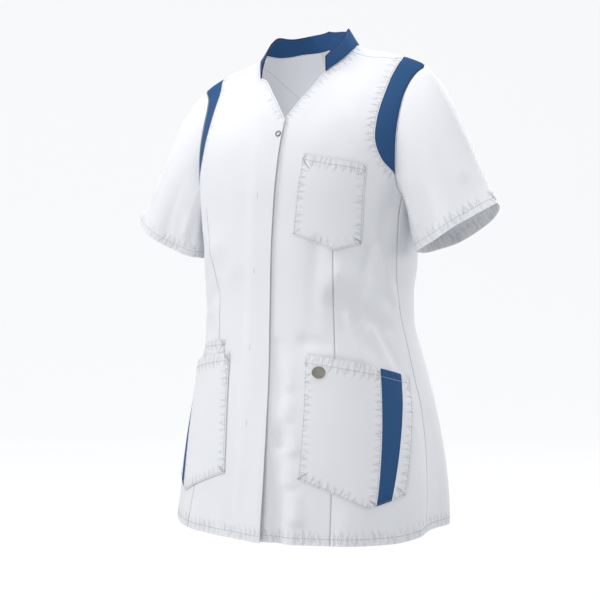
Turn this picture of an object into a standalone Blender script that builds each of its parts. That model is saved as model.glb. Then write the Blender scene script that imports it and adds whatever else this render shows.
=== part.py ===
"""Work tunic: a short-sleeved tunic with a stand collar, filled out as if it were worn.

Metres, +Z up. The front faces -Y and the wearer's left is +X. The origin lies between the two
points where the shoulders meet the neck. Sizes in the tables are centimetres.

The body's cloth is one smooth surface. A place on it has a turn, in degrees round the body from
the centre front towards the wearer's left, and a climb, in centimetres up the cloth from the bust
line, which goes on over the shoulder. Every panel is a grid on that surface, between its seams.
"""

from collections import namedtuple

import bmesh
import bpy
import numpy as np

for leftover in list(bpy.data.objects):
    bpy.data.objects.remove(leftover)

# Driving dimensions
CM = 0.01
WALL = 0.16
SEAM_GAP = 0.032
BUST_LINE = -27.0
RIDGE = 32.0
RIDGE_FORWARD = -0.5
TOP_HALF_WIDTH = 20.8
SQUARENESS = 2.3
LAP_LIFT = 0.42

# The body's level sections, from hem to bust line
Section = namedtuple("Section", "height half_width front_depth back_depth sway")
SECTIONS = (
    Section(-73, 20.8, 15.3, 16.6, 0.6),
    Section(-64, 20.2, 14.9, 16.0, 1.0),
    Section(-56, 19.1, 14.4, 15.0, 1.0),
    Section(-48, 17.5, 13.7, 13.4, 0.8),
    Section(-41, 16.1, 13.1, 12.0, 0.4),
    Section(-36, 16.0, 12.9, 11.4, 0.2),
    Section(-31, 16.7, 12.9, 11.2, 0.1),
    Section(-27, 17.2, 12.8, 11.0, 0.0),
)

# The cloth's way over the shoulder: place is the distance from the ridge, towards the back
Rise = namedtuple("Rise", "place height_share depth_share")
RISE = (
    Rise(-32, 0.0, -1.0),
    Rise(-26, 0.222, -0.99),
    Rise(-21, 0.40, -0.92),
    Rise(-17, 0.54, -0.80),
    Rise(-13, 0.67, -0.62),
    Rise(-9, 0.79, -0.42),
    Rise(-5, 0.895, -0.23),
    Rise(-2, 0.97, -0.10),
    Rise(0, 1.0, 0.0),
    Rise(2, 0.99, 0.15),
    Rise(4.5, 0.945, 0.36),
    Rise(8, 0.86, 0.60),
    Rise(12, 0.735, 0.82),
    Rise(16, 0.60, 0.96),
    Rise(20, 0.44, 1.02),
    Rise(26, 0.222, 1.02),
    Rise(32, 0.0, 1.0),
)

# The height of the shoulder ridge, out from the neck
Ridge = namedtuple("Ridge", "out height")
RIDGE_LINE = (
    Ridge(0, 4.5),
    Ridge(4, 3.2),
    Ridge(7.5, 0.6),
    Ridge(10, -0.6),
    Ridge(13, -1.4),
    Ridge(16, -2.4),
    Ridge(19, -3.9),
    Ridge(21, -5.6),
)


def curve(at, places, values):
    """Values at some places, on a smooth curve through a table's rows."""
    places = np.asarray(places, float)
    values = np.asarray(values, float)
    at = np.asarray(at, float)
    slopes = np.gradient(values, places, axis=0)
    i = np.clip(np.searchsorted(places, at) - 1, 0, len(places) - 2)
    step = places[i + 1] - places[i]
    t = np.clip((at - places[i]) / step, 0, 1)
    if values.ndim > 1:
        step = step[..., None]
        t = t[..., None]
    keep = 2 * t**3 - 3 * t**2 + 1
    leaving = (t**3 - 2 * t**2 + t) * step * slopes[i]
    arriving = (t**3 - t**2) * step * slopes[i + 1]
    return keep * values[i] + (1 - keep) * values[i + 1] + leaving + arriving


def columns(table):
    """A table's first column, and the rest."""
    rows = np.array(table, float)
    return rows[:, 0], rows[:, 1:]


def half_width(climb, back=False):
    """Half the body's width where the cloth has climbed so far."""
    height = BUST_LINE + np.minimum(climb, 0)
    half = curve(height, *columns(SECTIONS))[..., 0]
    up = np.maximum(climb, 0)
    place = RIDGE - up if back else up - RIDGE
    share = curve(place, *columns(RISE))[..., 0]
    return half + (TOP_HALF_WIDTH - half) * share**1.5


def turn_at(out, climb, back=False):
    """The angle from the centre front, or centre back, of a place so far out from the centre line."""
    share = np.clip(np.abs(out) / half_width(climb, back), 0, 1)
    return np.sign(out) * np.degrees(np.arcsin(share ** (SQUARENESS / 2)))


def torso(turn, climb):
    """Points of the body's smooth surface."""
    turn, climb = np.broadcast_arrays(np.asarray(turn, float), np.asarray(climb, float))
    height = BUST_LINE + np.minimum(climb, 0)
    sizes = curve(height, *columns(SECTIONS))
    half, front, back, sway = np.moveaxis(sizes, -1, 0)
    sine, cosine = np.sin(np.radians(turn)), np.cos(np.radians(turn))
    across = np.sign(sine) * np.abs(sine) ** (2 / SQUARENESS)
    along = np.abs(cosine) ** (2 / SQUARENESS)
    up = np.maximum(climb, 0)
    place = np.where(cosine > 0, up - RIDGE, RIDGE - up)
    share, depth = np.moveaxis(curve(place, *columns(RISE)), -1, 0)
    ridge = curve(np.abs(across) * TOP_HALF_WIDTH, *columns(RIDGE_LINE))[..., 0]
    x = across * (half + (TOP_HALF_WIDTH - half) * share**1.5) + sway
    y = np.where(depth < 0, -front, back) * along * np.abs(depth)
    y = y + RIDGE_FORWARD * (1 - np.abs(depth))
    z = height + (ridge - BUST_LINE) * share
    return np.stack([x, y, z], axis=-1)


def outward(turn, climb):
    """Unit normals of the body's surface."""
    step = 0.4
    round_body = torso(turn + step, climb) - torso(turn - step, climb)
    up_cloth = torso(turn, climb + step) - torso(turn, climb - step)
    normal = np.cross(round_body, up_cloth)
    return normal / np.linalg.norm(normal, axis=-1, keepdims=True)


# Folds

# The largest folds, ridges where the height is above 0 and troughs where it is below
Fold = namedtuple("Fold", "turn climb to_turn to_climb width height")
DEGREE = 0.31
FOLDS = (
    # under the bust and round the left waist
    Fold(36, -8, 84, -16, 2.6, 0.40),
    Fold(42, -14, 84, -22, 2.6, -0.35),
    # from the underarms towards the bust
    Fold(72, 5, 56, -6, 2.4, -0.40),
    Fold(-72, 5, -58, -5, 2.4, -0.40),
    # round the right waist
    Fold(-42, -10, -84, -15, 2.6, 0.35),
    Fold(-46, -15, -84, -20, 2.6, -0.30),
    # flares of the skirt, front and sides
    Fold(10, -46, 8, -26, 1.6, 0.50),
    Fold(24, -47, 27, -37, 2.4, -0.35),
    Fold(68, -47, 74, -26, 2.4, 0.45),
    Fold(86, -47, 88, -28, 2.2, -0.55),
    Fold(104, -47, 100, -24, 2.6, 0.55),
    Fold(-30, -47, -32, -38, 2.6, 0.35),
    Fold(-68, -47, -74, -26, 2.4, 0.40),
    Fold(-86, -47, -88, -28, 2.2, -0.50),
    Fold(-104, -47, -100, -26, 2.6, 0.50),
    # the back: across the waist, and flares
    Fold(152, -11, 116, -6, 2.2, 0.45),
    Fold(154, -16, 110, -14, 2.0, -0.40),
    Fold(208, -11, 243, -7, 2.2, 0.45),
    Fold(206, -16, 248, -13, 2.0, -0.40),
    Fold(168, -7, 196, -8, 2.2, 0.30),
    Fold(132, -47, 136, -26, 2.6, 0.50),
    Fold(158, -47, 160, -30, 2.6, -0.50),
    Fold(184, -47, 182, -27, 2.6, 0.40),
    Fold(206, -47, 204, -28, 2.6, -0.45),
    Fold(230, -47, 226, -26, 2.6, 0.45),
    # from the armholes down the back
    Fold(114, 8, 132, -2, 2.1, 0.45),
    Fold(246, 8, 228, -2, 2.1, 0.45),
)
# The lap's edge stands away from the left front where it isn't fastened, down to the hem
LAP_OPENS = -24.0
LAP_STAND = 0.8


def smooth_step(value):
    """0 to 1 with soft ends."""
    t = np.clip(value, 0, 1)
    return t * t * (3 - 2 * t)


def folds(turn, climb):
    """How far the folds move the cloth outwards."""
    turn, climb = np.broadcast_arrays(np.asarray(turn, float), np.asarray(climb, float))
    moved = np.zeros(turn.shape)
    for fold in FOLDS:
        start = np.array([fold.turn * DEGREE, fold.climb])
        along = np.array([fold.to_turn * DEGREE, fold.to_climb]) - start
        around = (turn - fold.turn + 180) % 360 - 180 + fold.turn
        here = np.stack([around * DEGREE, climb], axis=-1) - start
        share = np.clip(here @ along / (along @ along), 0, 1)
        away = np.linalg.norm(here - share[..., None] * along, axis=-1)
        moved += fold.height * (1 - 0.6 * share) * np.exp(-((away / fold.width) ** 2))
    return moved


def lap(turn, climb):
    """How far the right front stands off, where it laps over the left one."""
    out = torso(turn, climb)[..., 0]
    over = smooth_step((out + 3.6) / 1.8)
    edge = smooth_step((out + 1.5) / 3.2) * smooth_step((LAP_OPENS - climb) / 20)
    return LAP_LIFT * over + LAP_STAND * edge


# The hem's climb: it hangs lowest in front
Hem = namedtuple("Hem", "turn climb")
HEM_LINE = (
    Hem(0, -44.4), Hem(30, -44.2), Hem(60, -43.8), Hem(81, -43.0), Hem(110, -42.6), Hem(180, -43.0),
    Hem(250, -42.6), Hem(279, -43.0), Hem(300, -43.8), Hem(330, -44.2), Hem(360, -44.4),
)


def hem_climb(turn):
    """The climb of the hem at a turn."""
    return curve(np.mod(turn, 360), *columns(HEM_LINE))[..., 0]


def hem(first, last, steps):
    """Places along the hem between two turns."""
    turns = np.linspace(first, last, steps + 1)
    return np.stack([turns, hem_climb(turns)], axis=1)


# Seams, as rows of places on the cloth

OutPlace = namedtuple("OutPlace", "out climb")
TurnPlace = namedtuple("TurnPlace", "turn climb")
RIGHT_EDGE = (
    OutPlace(1.4, -44.4), OutPlace(1.0, -30), OutPlace(1.0, -15), OutPlace(1.4, 0), OutPlace(1.8, 6),
    OutPlace(2.2, 13.2),
)
RIGHT_V = (OutPlace(2.2, 13.2), OutPlace(-0.4, 16.4), OutPlace(-3.4, 20.3), OutPlace(-5.5, 22.8))
LEFT_EDGE = (OutPlace(-1.6, -44.4), OutPlace(-1.6, 8.5))
LEFT_V = (OutPlace(-1.6, 8.5), OutPlace(2.2, 13.9), OutPlace(4.3, 18.4), OutPlace(5.5, 22.8))
NECK_FRONT = (OutPlace(5.5, 22.8), OutPlace(7.0, 26.6), OutPlace(7.9, 29.2))
SHOULDER_SEAM = (OutPlace(7.9, 29.2), OutPlace(11.5, 29.4), OutPlace(15.6, 30.4))
DART_LOW = (
    OutPlace(10.9, -44.2), OutPlace(10.6, -37), OutPlace(10.2, -19), OutPlace(9.9, -11), OutPlace(10.0, -2),
)
DART_HIGH = (OutPlace(10.0, -2), OutPlace(10.6, 10), OutPlace(10.8, 20), OutPlace(11.1, 29.4))
SIDE_SEAM = (
    TurnPlace(81, -43.0), TurnPlace(83, -37), TurnPlace(86, -30), TurnPlace(85.5, -20), TurnPlace(83, -12),
    TurnPlace(76.5, -4), TurnPlace(75.5, 1), TurnPlace(78, 5.2),
)
UNDERARM_FRONT = (TurnPlace(78, 5.2), TurnPlace(73, 6.3), TurnPlace(68.5, 8.2))
INSERT_FRONT_TIP = (TurnPlace(68.5, 8.2), TurnPlace(67.4, 8.5))
INSERT_FRONT_INNER = (
    TurnPlace(67.4, 8.5), TurnPlace(57, 10.3), TurnPlace(50.8, 12.8), TurnPlace(47.6, 16.5),
    TurnPlace(45.8, 22.0), TurnPlace(45.2, 27.0), TurnPlace(46.4, 30.4),
)
INSERT_FRONT_OUTER = (
    TurnPlace(68.5, 8.2), TurnPlace(65.5, 11.7), TurnPlace(62.5, 15.2), TurnPlace(59.5, 19.6),
    TurnPlace(58.0, 23.8), TurnPlace(59.5, 27.6), TurnPlace(64, 30.4),
)
# On the back these are angles from the centre back, and the climb goes on over the ridge
OVER_SHOULDER = 2 * RIDGE - 30.4
UNDERARM_BACK = (TurnPlace(102, 5.2), TurnPlace(90, 4.8), TurnPlace(78, 6.0), TurnPlace(68.5, 8.2))
INSERT_BACK_TIP = (TurnPlace(68.5, 8.2), TurnPlace(67.4, 8.5))
INSERT_BACK_INNER = (
    TurnPlace(67.4, 8.5), TurnPlace(57, 11.0), TurnPlace(50, 15.5), TurnPlace(46.5, 21.0),
    TurnPlace(45.0, 27.0), TurnPlace(46.4, OVER_SHOULDER),
)
INSERT_BACK_OUTER = (
    TurnPlace(68.5, 8.2), TurnPlace(65.5, 12.0), TurnPlace(62.0, 17.0), TurnPlace(60.0, 22.5),
    TurnPlace(60.0, 28.0), TurnPlace(64, OVER_SHOULDER),
)
NECK_BACK = (
    OutPlace(7.9, 34.8), OutPlace(8.0, 32.4), OutPlace(7.3, 30.0), OutPlace(5.4, 27.9), OutPlace(2.8, 26.4),
    OutPlace(0, 25.9), OutPlace(-2.8, 26.4), OutPlace(-5.4, 27.9), OutPlace(-7.3, 30.0), OutPlace(-8.0, 32.4),
    OutPlace(-7.9, 34.8),
)
BACK_DART_LOW = (OutPlace(9.8, -43.0), OutPlace(8.6, -17), OutPlace(8.6, -2))
BACK_DART_HIGH = (
    OutPlace(8.6, -2), OutPlace(9.4, 12), OutPlace(10.2, 22), OutPlace(10.0, 29), OutPlace(7.9, 34.8),
)

# How many pieces of grid each seam has; neighbours share them, so that their points meet
SIDE_STEPS = 17
UNDERARM_STEPS = 3
INSERT_STEPS = 9
EDGE_STEPS = 22
V_STEPS = 4
NECK_STEPS = 4
TIP_EASE = 1.35
DART_EASE = 1.5
NEAR_STEPS = 5
FAR_STEPS = 7
NECK_BACK_STEPS = 10
ROWS = SIDE_STEPS + UNDERARM_STEPS + 1 + INSERT_STEPS


def run(table, steps, ease=1.0):
    """Places along a seam's rows, evenly spaced or, with an ease over 1, closer at its start."""
    rows = np.array(table, float)
    scale = np.array([DEGREE if isinstance(table[0], TurnPlace) else 1.0, 1.0])
    lengths = np.linalg.norm(np.diff(rows * scale, axis=0), axis=1)
    along = np.concatenate([[0], np.cumsum(lengths)])
    return curve(along[-1] * np.linspace(0, 1, steps + 1) ** ease, along, rows)


def to_turns(places, back=False):
    """Places given by their distance out from the centre line, as turns."""
    turns = turn_at(places[:, 0], places[:, 1], back)
    return np.stack([turns, places[:, 1]], axis=1)


def behind(places):
    """Places given by their angle from the centre back, as turns."""
    return np.stack([180 - places[:, 0], places[:, 1]], axis=1)


def join(*parts):
    """Seams end to end, as one boundary."""
    kept = [parts[0]] + [part[1:] for part in parts[1:]]
    return np.concatenate(kept)


def blend(bottom, top, left, right):
    """A grid of places between four boundaries."""
    u = np.linspace(0, 1, len(bottom))[None, :, None]
    v = np.linspace(0, 1, len(left))[:, None, None]
    rows = (1 - v) * bottom[None] + v * top[None]
    across = (1 - u) * left[:, None] + u * right[:, None]
    low = (1 - u) * bottom[0] + u * bottom[-1]
    high = (1 - u) * top[0] + u * top[-1]
    return rows + across - (1 - v) * low - v * high


# Walls


def material(name, colour, roughness, metallic=0.0):
    """A Principled material."""
    made = bpy.data.materials.new(name)
    made.use_nodes = True
    shader = made.node_tree.nodes["Principled BSDF"]
    shader.inputs["Base Color"].default_value = (*colour, 1)
    shader.inputs["Roughness"].default_value = roughness
    shader.inputs["Metallic"].default_value = metallic
    return made


WHITE = material("white_twill", (0.80, 0.80, 0.82), 0.85)
BLUE = material("blue_twill", (0.02, 0.09, 0.25), 0.85)
LABEL = material("label_tape", (0.55, 0.60, 0.55), 0.8)
STEEL = material("dull_steel", (0.45, 0.43, 0.38), 0.4, 1.0)


def wall(name, outer, inner, finish, ring=False):
    """A closed wall between two grids of points, in centimetres."""
    rows, count = outer.shape[:2]
    bm = bmesh.new()
    bmesh.ops.create_grid(bm, x_segments=count - 1, y_segments=rows - 1, size=1)
    lining = bm.verts.layers.float_vector.new("lining")
    ordered = sorted(bm.verts, key=lambda vert: (round(vert.co.y, 5), round(vert.co.x, 5)))
    for vert, place, inside in zip(ordered, outer.reshape(-1, 3), inner.reshape(-1, 3)):
        vert.co = place * CM
        vert[lining] = inside * CM
    if ring:
        bmesh.ops.remove_doubles(bm, verts=bm.verts, dist=1e-6)
    made = bmesh.ops.extrude_face_region(bm, geom=bm.faces[:])
    for item in made["geom"]:
        if isinstance(item, bmesh.types.BMVert):
            item.co = item[lining]
    bmesh.ops.recalc_face_normals(bm, faces=bm.faces)
    mesh = bpy.data.meshes.new(name)
    bm.to_mesh(mesh)
    bm.free()
    mesh.attributes.remove(mesh.attributes["lining"])
    mesh.materials.append(finish)
    mesh.shade_smooth()
    mesh.set_sharp_from_angle(angle=np.radians(40))
    piece = bpy.data.objects.new(name, mesh)
    bpy.context.collection.objects.link(piece)
    return piece


# A grid turned so that one of its sides becomes its first column
VIEWS = {
    "left": lambda grid: grid,
    "right": lambda grid: grid[:, ::-1],
    "bottom": lambda grid: grid.swapaxes(0, 1),
    "top": lambda grid: grid[::-1].swapaxes(0, 1),
}


def inset(points, normal, sides):
    """How far each point of a grid moves in, so that a seam keeps its gap."""
    moved = np.zeros(points.shape)
    for side in sides:
        grid = VIEWS[side](points)
        tangent = np.gradient(grid[:, 0], axis=0)
        inwards = np.cross(tangent, VIEWS[side](normal)[:, 0])
        inwards /= np.linalg.norm(inwards, axis=-1, keepdims=True)
        if (inwards * (grid[:, 1] - grid[:, 0])).sum() < 0:
            inwards = -inwards
        VIEWS[side](moved)[:, 0] += inwards * SEAM_GAP / 2
    return moved


def panel(name, places, finish, sides, lift=None):
    """A panel of the body from its grid of places; lift moves it off the body's surface."""
    turn, climb = places[..., 0], places[..., 1]
    normal = outward(turn, climb)
    height = folds(turn, climb)
    if lift is not None:
        height = height + lift(turn, climb)
    outer = torso(turn, climb) + normal * height[..., None]
    shift = inset(outer, normal, sides)
    return wall(name, outer + shift, outer - normal * WALL + shift, finish)


def mirrored(places):
    """The same places on the wearer's other side, in the same order round the body."""
    return places[:, ::-1] * np.array([-1, 1])


# Fronts and back


def front(edge, v_edge):
    """A left front's grid: from its edge to the dart seam, and on to the side seam and armhole."""
    inner = join(run(edge, EDGE_STEPS), run(v_edge, V_STEPS), run(NECK_FRONT, NECK_STEPS))
    inner = to_turns(inner)
    dart = to_turns(join(run(DART_LOW, SIDE_STEPS), run(DART_HIGH, ROWS - SIDE_STEPS, DART_EASE)))
    outer = join(
        run(SIDE_SEAM, SIDE_STEPS), run(UNDERARM_FRONT, UNDERARM_STEPS), run(INSERT_FRONT_TIP, 1),
        run(INSERT_FRONT_INNER, INSERT_STEPS, TIP_EASE),
    )
    shoulder = to_turns(run(SHOULDER_SEAM, NEAR_STEPS + FAR_STEPS))
    dart[-1] = shoulder[NEAR_STEPS]
    near = blend(hem(inner[0, 0], dart[0, 0], NEAR_STEPS), shoulder[: NEAR_STEPS + 1], inner, dart)
    far = blend(hem(dart[0, 0], outer[0, 0], FAR_STEPS), shoulder[NEAR_STEPS:], dart, outer)
    return np.concatenate([near, far[:, 1:]], axis=1)


def mirror_out(table):
    """A table of places with its distances turned to the other side."""
    return tuple(OutPlace(-row.out, row.climb) for row in table)


SEAMED = ("left", "right", "top")
panel("front_left", front(LEFT_EDGE, LEFT_V), WHITE, SEAMED)
panel("front_right", mirrored(front(mirror_out(RIGHT_EDGE), mirror_out(RIGHT_V))), WHITE, SEAMED, lap)

BACK_SIDE = join(
    run(SIDE_SEAM, SIDE_STEPS), behind(run(UNDERARM_BACK, UNDERARM_STEPS)), behind(run(INSERT_BACK_TIP, 1)),
    behind(run(INSERT_BACK_INNER, INSERT_STEPS, TIP_EASE)),
)


def over_ridge(places):
    """Places at the front's shoulder seam, as the back reaches them."""
    return np.stack([180 - places[:, 0], 2 * RIDGE - places[:, 1]], axis=1)


def back():
    """The back's grid, from the wearer's left side seam round to the right one."""
    shoulder = over_ridge(to_turns(run(SHOULDER_SEAM, NEAR_STEPS + FAR_STEPS)))[::-1]
    neck = behind(to_turns(run(NECK_BACK, NECK_BACK_STEPS), back=True))
    dart = join(run(BACK_DART_LOW, SIDE_STEPS), run(BACK_DART_HIGH, ROWS - SIDE_STEPS, DART_EASE))
    dart = behind(to_turns(dart, back=True))
    dart[-1] = shoulder[-1]
    neck[0] = shoulder[-1]
    side = blend(hem(BACK_SIDE[0, 0], dart[0, 0], NEAR_STEPS + FAR_STEPS), shoulder, BACK_SIDE, dart)
    flip = np.array([-1, 1])
    full_turn = np.array([360, 0])
    other_dart = dart * flip + full_turn
    neck[-1] = other_dart[-1]
    middle = blend(hem(dart[0, 0], other_dart[0, 0], NECK_BACK_STEPS), neck, dart, other_dart)
    other_side = side[:, ::-1] * flip + full_turn
    return np.concatenate([side, middle[:, 1:], other_side[:, 1:]], axis=1)


panel("back", back(), WHITE, SEAMED)

# Shoulder inserts
INSERT_ACROSS = 3
# How much more than the body's panels an insert draws in at its seams
INSERT_SHIFT = 1.3
# An insert's sharp ends draw back along it
TIP_DRAW = 0.10


def insert(outline_inner, outline_outer):
    """A grid of places between an insert's two edges."""
    share = np.linspace(0, 1, INSERT_ACROSS + 1)[None, :, None]
    return outline_inner[:, None] * (1 - share) + outline_outer[:, None] * share


def insert_points():
    """The left insert's surface and normals: up its front, over the shoulder, and down its back."""
    steps, ease = INSERT_STEPS, TIP_EASE
    fore = insert(run(INSERT_FRONT_INNER, steps, ease), run(INSERT_FRONT_OUTER, steps, ease))
    aft = insert(behind(run(INSERT_BACK_INNER, steps, ease)), behind(run(INSERT_BACK_OUTER, steps, ease)))
    points = []
    normals = []
    for places in (fore, aft[::-1][1:]):
        turn, climb = places[..., 0], places[..., 1]
        normal = outward(turn, climb)
        points.append(torso(turn, climb) + normal * folds(turn, climb)[..., None])
        normals.append(normal)
    return np.concatenate(points), np.concatenate(normals)


MIRROR = np.array([-1, 1, 1])
insert_outer, insert_normal = insert_points()
insert_shift = INSERT_SHIFT * inset(insert_outer, insert_normal, ("left", "right", "bottom", "top"))
insert_outer = insert_outer + insert_shift
for tip, beside in ((0, 1), (-1, -2)):
    along_tip = insert_outer[beside] - insert_outer[tip]
    insert_outer[tip] += TIP_DRAW * along_tip / np.linalg.norm(along_tip, axis=-1, keepdims=True)
insert_inner = insert_outer - insert_normal * WALL
wall("insert_left", insert_outer, insert_inner, BLUE)
wall("insert_right", insert_outer * MIRROR, insert_inner * MIRROR, BLUE)


# Sleeves

# The left cuff is level front to back and tilts outwards; its front is flatter than its back
CUFF_OUTER = np.array([30.7, -2.4, -24.4])
CUFF_INNER = np.array([18.9, -2.4, -30.8])
CUFF_FRONT = 3.2
CUFF_BACK = 5.6
# How far the middle of the cuff's front and back edges hang below the straight line
CUFF_SAG = 0.7
SLEEVE_STEPS = 9
# How far the sleeve head rises from the straight line to the cuff
HEAD_RISE = 8.2
FRONT_RISE = 4.5
UNDERARM_RISE = 4.0
BACK_RISE = 0.2
# The sleeve's own folds: share of the way round, share of the way down, width and height
SleeveFold = namedtuple("SleeveFold", "round down to_round to_down width height")
SLEEVE_FOLDS = (
    SleeveFold(0.14, 0.30, 0.22, 0.95, 0.045, 0.30),
    SleeveFold(0.30, 0.35, 0.32, 1.00, 0.050, -0.35),
    SleeveFold(0.66, 0.30, 0.62, 1.00, 0.050, -0.35),
    SleeveFold(0.84, 0.25, 0.78, 0.95, 0.050, -0.20),
)


def armhole():
    """The left armhole's points and normals, from the shoulder down the front, round, and up the back."""
    steps, ease = INSERT_STEPS, TIP_EASE
    places = join(
        run(INSERT_FRONT_OUTER, steps, ease)[::-1],
        run(UNDERARM_FRONT, UNDERARM_STEPS)[::-1],
        behind(run(UNDERARM_BACK, UNDERARM_STEPS)),
        behind(run(INSERT_BACK_OUTER, steps, ease)),
    )
    turn, climb = places[:, 0], places[:, 1]
    normal = outward(turn, climb)
    return torso(turn, climb) + normal * folds(turn, climb)[:, None], normal


def cuff(count_front, count_back):
    """The cuff's points, from its outer end round the front and back again."""
    fore = np.linspace(0, np.pi, count_front + 1)
    aft = np.linspace(np.pi, 2 * np.pi, count_back + 1)
    angle = np.concatenate([fore, aft[1:]])
    middle, reach = (CUFF_OUTER + CUFF_INNER) / 2, (CUFF_OUTER - CUFF_INNER) / 2
    depth = np.where(np.sin(angle) > 0, -CUFF_FRONT, -CUFF_BACK)
    sag = np.abs(np.sin(angle)) * CUFF_SAG
    level = np.stack([np.zeros(len(angle)), np.sin(angle) * depth, -sag], axis=1)
    return middle + np.cos(angle)[:, None] * reach + level


def normals_of(points, ring=False):
    """Unit normals of a grid of points whose columns go round and whose rows go along."""
    if ring:
        wide = np.concatenate([points[:, -2:-1], points, points[:, 1:2]], axis=1)
        round_step = (wide[:, 2:] - wide[:, :-2]) / 2
    else:
        round_step = np.gradient(points, axis=1)
    along_step = np.gradient(points, axis=0)
    normal = np.cross(round_step, along_step)
    return normal / np.linalg.norm(normal, axis=-1, keepdims=True)


def sleeve_points():
    """The left sleeve's outer surface, rows from the armhole to the cuff."""
    start, normal = armhole()
    tangent = np.gradient(start, axis=0)
    tangent[0] = tangent[-1] = (start[1] - start[-2]) / 2
    tangent /= np.linalg.norm(tangent, axis=1, keepdims=True)
    into_hole = np.cross(normal, tangent)
    start = start + (1.3 * into_hole + 0.7 * normal) * SEAM_GAP
    front_steps = INSERT_STEPS + UNDERARM_STEPS
    end = cuff(front_steps, front_steps)
    place = np.linspace(0, 1, len(start))
    rise = curve(place, [0, 0.2, 0.5, 0.8, 1], [HEAD_RISE, FRONT_RISE, UNDERARM_RISE, BACK_RISE, HEAD_RISE])
    down = np.linspace(0, 1, SLEEVE_STEPS + 1)[:, None, None]
    points = start + (end - start) * down + normal * rise[:, None] * down * (1 - down) ** 3
    height = np.zeros(points.shape[:2])
    for fold in SLEEVE_FOLDS:
        line = np.array([fold.to_round - fold.round, fold.to_down - fold.down])
        here = np.stack(np.broadcast_arrays(place[None] - fold.round, down[..., 0] - fold.down), axis=-1)
        share = np.clip(here @ line / (line @ line), 0, 1)
        away = np.linalg.norm((here - share[..., None] * line) * np.array([1, 0.4]), axis=-1)
        height += fold.height * share * np.exp(-((away / fold.width) ** 2))
    return points + normals_of(points, ring=True) * height[..., None]


sleeve_outer = sleeve_points()
sleeve_normal = normals_of(sleeve_outer, ring=True)
if (sleeve_normal[-1, 0] * (CUFF_OUTER - CUFF_INNER)).sum() < 0:
    sleeve_normal = -sleeve_normal
sleeve_inner = sleeve_outer - sleeve_normal * WALL
wall("sleeve_left", sleeve_outer, sleeve_inner, WHITE, ring=True)
wall("sleeve_right", sleeve_outer * MIRROR, sleeve_inner * MIRROR, WHITE, ring=True)

# Collar and neck facing

# The stand's top edge above its seam, by the share of the way from the centre back to the front end
Stand = namedtuple("Stand", "share up inwards forwards")
STAND = (
    Stand(0.0, 2.8, 0.6, 0.0),
    Stand(0.3, 2.8, 1.3, 0.0),
    Stand(0.55, 2.5, 2.0, 0.1),
    Stand(0.8, 2.3, 1.0, 0.3),
    Stand(1.0, 2.0, 0.2, 0.5),
)
# The stand's top leans a little to the wearer's left
STAND_LEAN = 0.4
COLLAR_STEPS = 4
COLLAR_WALL = 0.2


def neck_seam():
    """Points and normals of the neck seam, from the right front end round the back to the left one."""
    left = to_turns(run(NECK_FRONT, NECK_STEPS))
    rear = behind(to_turns(run(NECK_BACK, NECK_BACK_STEPS), back=True))
    points = []
    normals = []
    for places in (left * np.array([-1, 1]), rear[::-1][1:-1], left[::-1]):
        points.append(torso(places[:, 0], places[:, 1]))
        normals.append(outward(places[:, 0], places[:, 1]))
    return np.concatenate(points), np.concatenate(normals)


def collar_points():
    """The collar's outer surface, rows from its seam to its top edge."""
    seam, normal = neck_seam()
    middle = len(seam) // 2
    lengths = np.concatenate([[0], np.cumsum(np.linalg.norm(np.diff(seam, axis=0), axis=1))])
    share = np.abs(lengths - lengths[middle]) / lengths[middle]
    up, inwards, forwards = np.moveaxis(curve(share, *columns(STAND)), -1, 0)
    centre = seam.mean(axis=0)
    to_centre = (centre - seam) * np.array([1, 1, 0])
    to_centre /= np.linalg.norm(to_centre, axis=1, keepdims=True)
    side = np.sign(seam[:, 0]) * np.minimum(1, np.abs(seam[:, 0]) / 4)
    lean = np.stack([STAND_LEAN - side * inwards, np.where(seam[:, 1] > centre[1], -1, 0) * inwards * (1 - np.abs(side))
                     - forwards, up], axis=1)
    rows = np.linspace(0, 1, COLLAR_STEPS + 1)[:, None, None]
    return seam + normal * SEAM_GAP + to_centre * SEAM_GAP * 1.5 + lean * rows


collar_outer = collar_points()
collar_inner = collar_outer - normals_of(collar_outer) * COLLAR_WALL
wall("collar", collar_outer, collar_inner, BLUE)

# The facing lies inside the back's top rows, between two of its columns
FACING_ROWS = 4
FACING_COLUMNS = slice(9, 26)
FACING_DEEP = 0.06
FACING_WALL = 0.08
facing_places = back()[-FACING_ROWS - 1 :, FACING_COLUMNS]
facing_normal = outward(facing_places[..., 0], facing_places[..., 1])
facing_height = folds(facing_places[..., 0], facing_places[..., 1])[..., None] - WALL - FACING_DEEP
facing_outer = torso(facing_places[..., 0], facing_places[..., 1]) + facing_normal * facing_height
facing_outer = facing_outer + inset(facing_outer, facing_normal, ("top",))
wall("neck_facing", facing_outer, facing_outer - facing_normal * FACING_WALL, WHITE)

# Pockets

POCKET_WALL = 0.13
POCKET_CLEAR = 0.10


def patch(name, top, bottom, steps, finish, side=1, stand=0.0, clear=POCKET_CLEAR, thick=POCKET_WALL):
    """A pocket's piece on the front: its bottom edge may be pointed, and its top may stand away."""
    across, along = steps
    low = bottom if isinstance(bottom, np.ndarray) else run(bottom, across)
    high = run(top, across)
    v = np.linspace(0, 1, along + 1)[:, None]
    places = low[None] * (1 - v[..., None]) + high[None] * v[..., None]
    u = np.linspace(0, 1, across + 1)[None]
    height = clear + stand * np.sqrt(np.clip(np.sin(np.pi * u), 0, 1)) * v**2
    turn, climb = places[..., 0] * side, places[..., 1]
    normal = outward(turn, climb)
    inner = torso(turn, climb) + normal * (folds(turn, climb) + height)[..., None]
    inner = inner + inset(inner, normal, ("left", "right"))
    return wall(name, inner + normal * thick, inner, finish)


def pointed(start, tip, end, steps):
    """A pocket's bottom edge: two straight lines that meet in a point."""
    return join(run((start, tip), steps[0]), run((tip, end), steps[1]))


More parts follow.
